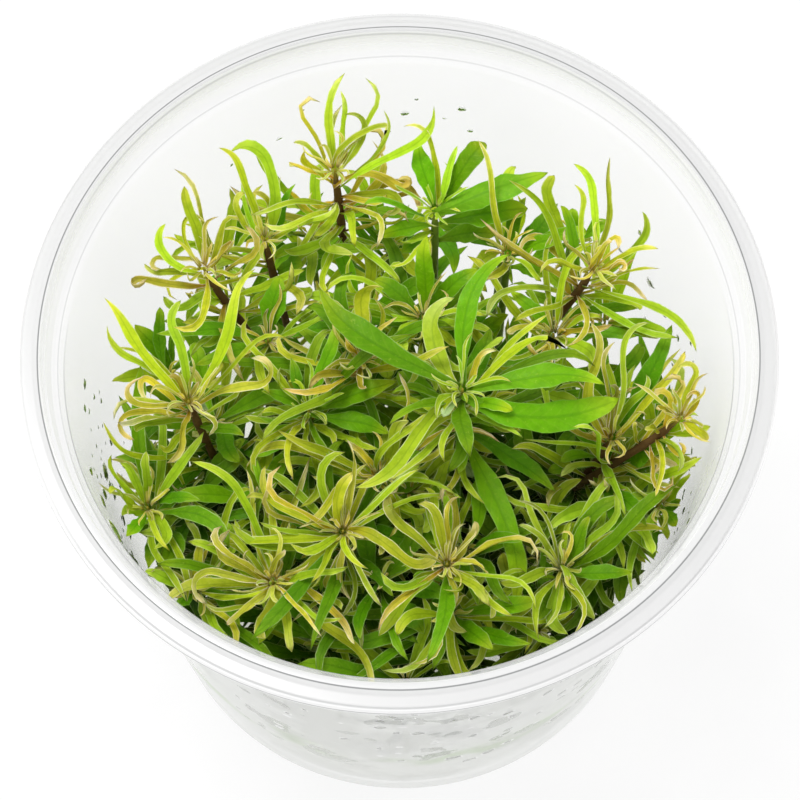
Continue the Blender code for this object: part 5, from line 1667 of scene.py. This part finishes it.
def plastic_share(graph, back, height, radius, mist):
    """How solid the plastic looks: most at a slant, in mist and at the outer rim, and at the near rim,
    which is made more solid to paint it lighter over the shade behind it.
    """
    facing = graph.add("ShaderNodeLayerWeight", Blend=0.3).outputs["Facing"]
    # Painted light: the near rim is made more solid than the far one, so that it shows lighter over the
    # shade behind it.
    near_rim_lightening = graph.span(back, -36, -14, 1.4, 0.15)
    near_rim_lightening = graph.product(near_rim_lightening, graph.span(radius, 44.6, 45.8, 0.35, 1.0))
    milky = graph.most(graph.span(radius, 46.6, 47.4), near_rim_lightening)
    milky = graph.product(milky, graph.span(height, 77.0, 79.2))
    share = graph.math("MULTIPLY_ADD", milky, 0.54, 0.08)
    share = graph.math("ADD", graph.ramp(facing, 0.3, 1.0, 0.0, 0.3), share)
    return graph.math("MINIMUM", graph.math("MULTIPLY_ADD", mist, 0.44, share), 0.9)


def plastic_material():
    """Clear polypropylene with a milky rim, and mist and drops on the near side of its wall, with
    painted dark lines, shade, highlights and a green reflection.
    """
    graph = Graph("clear_plastic")
    where = graph.add("ShaderNodeTexCoord").outputs["Object"]
    split = graph.add("ShaderNodeSeparateXYZ", Vector=where)
    back, height = split.outputs[1], split.outputs[2]
    flat = graph.add("ShaderNodeCombineXYZ", X=split.outputs[0], Y=back)
    length = graph.add("ShaderNodeVectorMath", {"operation": "LENGTH"}, Vector=flat.outputs[0])
    radius = length.outputs["Value"]
    near = graph.product(graph.span(back, *MIST_BACK, 1.0, 0.0), graph.span(height, *MIST_TOP, 1.0, 0.0))
    above = graph.product(near, graph.span(height, *MIST_FOOT))
    drops, painted_drop_shine = wall_drops(graph, where, above)
    # Painted shine round drops and under the skirt: it whitens the plastic and thickens its mist.
    painted_shine = graph.most(painted_drop_shine, skirt_line(graph, height, radius, *SKIRT_SHINE))
    mist = graph.most(wall_mist(graph, near, above, drops), painted_shine)
    # edges holds the painted dark lines at the rim's corners and the skirt's painted shadow, in the
    # colour and in the see-through veil.
    edges = paint_rim_lines(graph, height, radius, back)
    white = plastic_white(graph, height, near, painted_shine)
    graph.feed(graph.shader, "Base Color", graph.mix(edges, white, PAINTED_LINE_GREY))
    graph.feed(graph.shader, "Roughness", graph.ramp(mist, 0, 1, 0.22, 0.4))
    graph.feed(graph.shader, "IOR", 1.45)
    graph.bump(1.0, 1.4, drops)
    veil = graph.mix(edges, (0.985, 0.985, 0.985, 1), PAINTED_LINE_GREY)
    clear = graph.add("ShaderNodeBsdfTransparent", Color=veil)
    graph.show_mix(plastic_share(graph, back, height, radius, mist), clear, graph.shader)
    return graph.material


def gel_material():
    """Clear growing gel, faintly yellow and cloudy, with a slightly uneven surface."""
    graph = Graph("clear_gel")
    cloud = graph.mix(graph.noise(90, 3), (0.82, 0.86, 0.76, 1), (0.90, 0.92, 0.85, 1))
    graph.feed(graph.shader, "Base Color", cloud)
    graph.feed(graph.shader, "Roughness", graph.ramp(graph.noise(120, 4), 0.3, 0.7, 0.03, 0.12))
    graph.feed(graph.shader, "IOR", 1.34)
    graph.bump(0.4, 0.4, graph.noise(160, 3))
    clear = graph.add("ShaderNodeBsdfTransparent", Color=(0.985, 0.99, 0.955, 1))
    facing = graph.add("ShaderNodeLayerWeight", Blend=0.4).outputs["Facing"]
    graph.show_mix(graph.ramp(facing, 0.0, 1.0, 0.16, 0.6), clear, graph.shader)
    return graph.material


def water_material():
    """Condensed water."""
    graph = Graph("water")
    graph.feed(graph.shader, "Base Color", (0.97, 0.98, 0.97, 1))
    graph.feed(graph.shader, "Roughness", graph.ramp(graph.noise(900, 2), 0.3, 0.7, 0.0, 0.05))
    graph.feed(graph.shader, "IOR", 1.33)
    graph.feed(graph.shader, "Transmission Weight", 1.0)
    return graph.material


def droplet(turn, height, size, chance):
    """The rows of points of one flat, uneven drop on the inside of the wall, and its crown."""
    out = Vector((math.cos(turn), math.sin(turn), 0))
    level = UP.cross(out)
    up_wall = (UP + out * WALL_SLOPE).normalized()
    inward = up_wall.cross(level)
    inward = inward if inward.dot(out) < 0 else -inward
    centre = out * (inner_radius(height) - DROPLET_SINK) + UP * height
    tall = chance.uniform(0.8, 1.5)
    thick = size * chance.uniform(0.25, 0.45)
    lobes = [(count, chance.uniform(0, 6), chance.uniform(0.05, 0.2)) for count in (2, 3, 5)]
    rows = []
    for row in range(DROPLET_ROWS):
        share = row / DROPLET_ROWS
        ring = []
        for side in range(DROPLET_SIDES):
            angle = math.tau * side / DROPLET_SIDES
            uneven = sum(depth * math.sin(count * angle + start) for count, start, depth in lobes)
            reach = size * (1 + uneven)
            reach *= math.cos(share * math.pi / 2)
            rise = thick * math.sin(share * math.pi / 2)
            across = level * (reach * math.cos(angle)) + up_wall * (reach * tall * math.sin(angle))
            ring.append(centre + across + inward * rise)
        rows.append(ring)
    return rows, centre + inward * thick


def droplet_faces():
    """The faces of one closed drop: its sides, its crown and its flat back."""
    faces = ring_faces(DROPLET_ROWS, DROPLET_SIDES)
    count = DROPLET_ROWS * DROPLET_SIDES
    faces.extend(cone_faces(count - DROPLET_SIDES, DROPLET_SIDES, count))
    faces.append(tuple(range(DROPLET_SIDES - 1, -1, -1)))
    return faces


def build_droplets():
    """Condensation on the inside of the wall, as one piece of many closed drops."""
    chance = random.Random(DROPLET_SEED)
    points, faces = [], []
    for first, last, low, high, count, (least, most) in DROPLETS:
        for _ in range(count):
            size = least + (most - least) * chance.random() ** SMALL_DROPLET_BIAS
            turn = math.radians(chance.uniform(first, last))
            rows, crown = droplet(turn, chance.uniform(low, high), size, chance)
            start = len(points)
            for ring in rows:
                points.extend(ring)
            points.append(crown)
            faces.extend(tuple(start + index for index in face) for face in droplet_faces())
    obj = new_object("wall_droplets", points, faces, water_material())
    obj.data.polygons.foreach_set("use_smooth", [len(face) < DROPLET_SIDES for face in faces])
    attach(obj, "root")


def floor_material():
    """A dark grey that shines white, so that the table is white with only a soft shadow."""
    graph = Graph("white_table")
    tone = graph.ramp(graph.noise(40, 2), 0.3, 0.7, 0.11, 0.13)
    graph.feed(graph.shader, "Base Color", graph.mix(tone, PURE_BLACK, PURE_WHITE))
    graph.feed(graph.shader, "Roughness", 0.8)
    graph.feed(graph.shader, "Specular IOR Level", 0.1)
    graph.feed(graph.shader, "Emission Color", PURE_WHITE)
    graph.feed(graph.shader, "Emission Strength", 0.85)
    return graph.material


def build_stage():
    """A white table that reaches past the view in every direction."""
    corners = [(x * TABLE_REACH, y * TABLE_REACH, 0) for x, y in ((-1, -1), (1, -1), (1, 1), (-1, 1))]
    new_object("table_top", corners, [(0, 1, 2, 3)], floor_material())


def build_key_light():
    data = bpy.data.lights.new("key", "AREA")
    data.shape = "DISK"
    data.size = KEY_SIZE * MM
    data.energy = KEY_POWER
    light = bpy.data.objects.new("key", data)
    light.location = KEY_PLACE * MM
    light.rotation_mode = "QUATERNION"
    light.rotation_quaternion = (KEY_AIM - KEY_PLACE).to_track_quat("-Z", "Y")
    bpy.context.scene.collection.objects.link(light)


def build_light():
    """Even white light from all sides, and a weak key light from above on the left."""
    world = bpy.data.worlds.new("studio")
    bpy.context.scene.world = world
    world.use_nodes = True
    background = world.node_tree.nodes["Background"]
    background.inputs["Color"].default_value = PURE_WHITE
    background.inputs["Strength"].default_value = 1.0
    build_key_light()
    bpy.context.scene.view_settings.view_transform = "Standard"


def build_camera():
    data = bpy.data.cameras.new("camera")
    data.sensor_width = SENSOR
    data.lens = LENS
    data.clip_start = CLIP_START * MM
    camera = bpy.data.objects.new("camera", data)
    camera.location = CAMERA_PLACE * MM
    camera.rotation_mode = "QUATERNION"
    aim = (CAMERA_AIM - CAMERA_PLACE).to_track_quat("-Z", "Y")
    camera.rotation_quaternion = aim @ Quaternion((0, 0, 1), CAMERA_ROLL)
    bpy.context.scene.collection.objects.link(camera)
    bpy.context.scene.camera = camera


def grow_layout():
    """Repeats the CAD model's layout, so each fine leaf lies on the leaf of its solid."""
    tall = []
    for shoot in TALL_SHOOTS:
        crown = along_sight(*shoot.crown)
        tall.append(Stem(shoot.name, shoot.foot, crown, shoot.drops, STEM_RADIUS, TALL_RING_SPACING))
    small = small_shoot_stems(tall)
    thicket = Thicket(tall + small)
    grow_tall_shoots(tall, thicket)
    grow_small_shoots(small, thicket)
    return tall, small


def main():
    build_camera()
    build_light()
    build_stage()
    tall, small = grow_layout()
    materials = {
        "leaf_green": leaf_material("leaf_green", 0.42, 0.40),
        "leaf_olive": leaf_material("leaf_olive", 0.48, 0.45),
    }
    grow_fine_shoots(tall, small, materials)
    build_droplets()
    cup = rounded(cup_profile(), SHARP_CORNER)
    gel = rounded(gel_profile(), SOFT_CORNER)
    turned_piece("fine_cup", cup, plastic_material(), "cup")
    turned_piece("fine_gel", gel, gel_material(), "gel")


main()
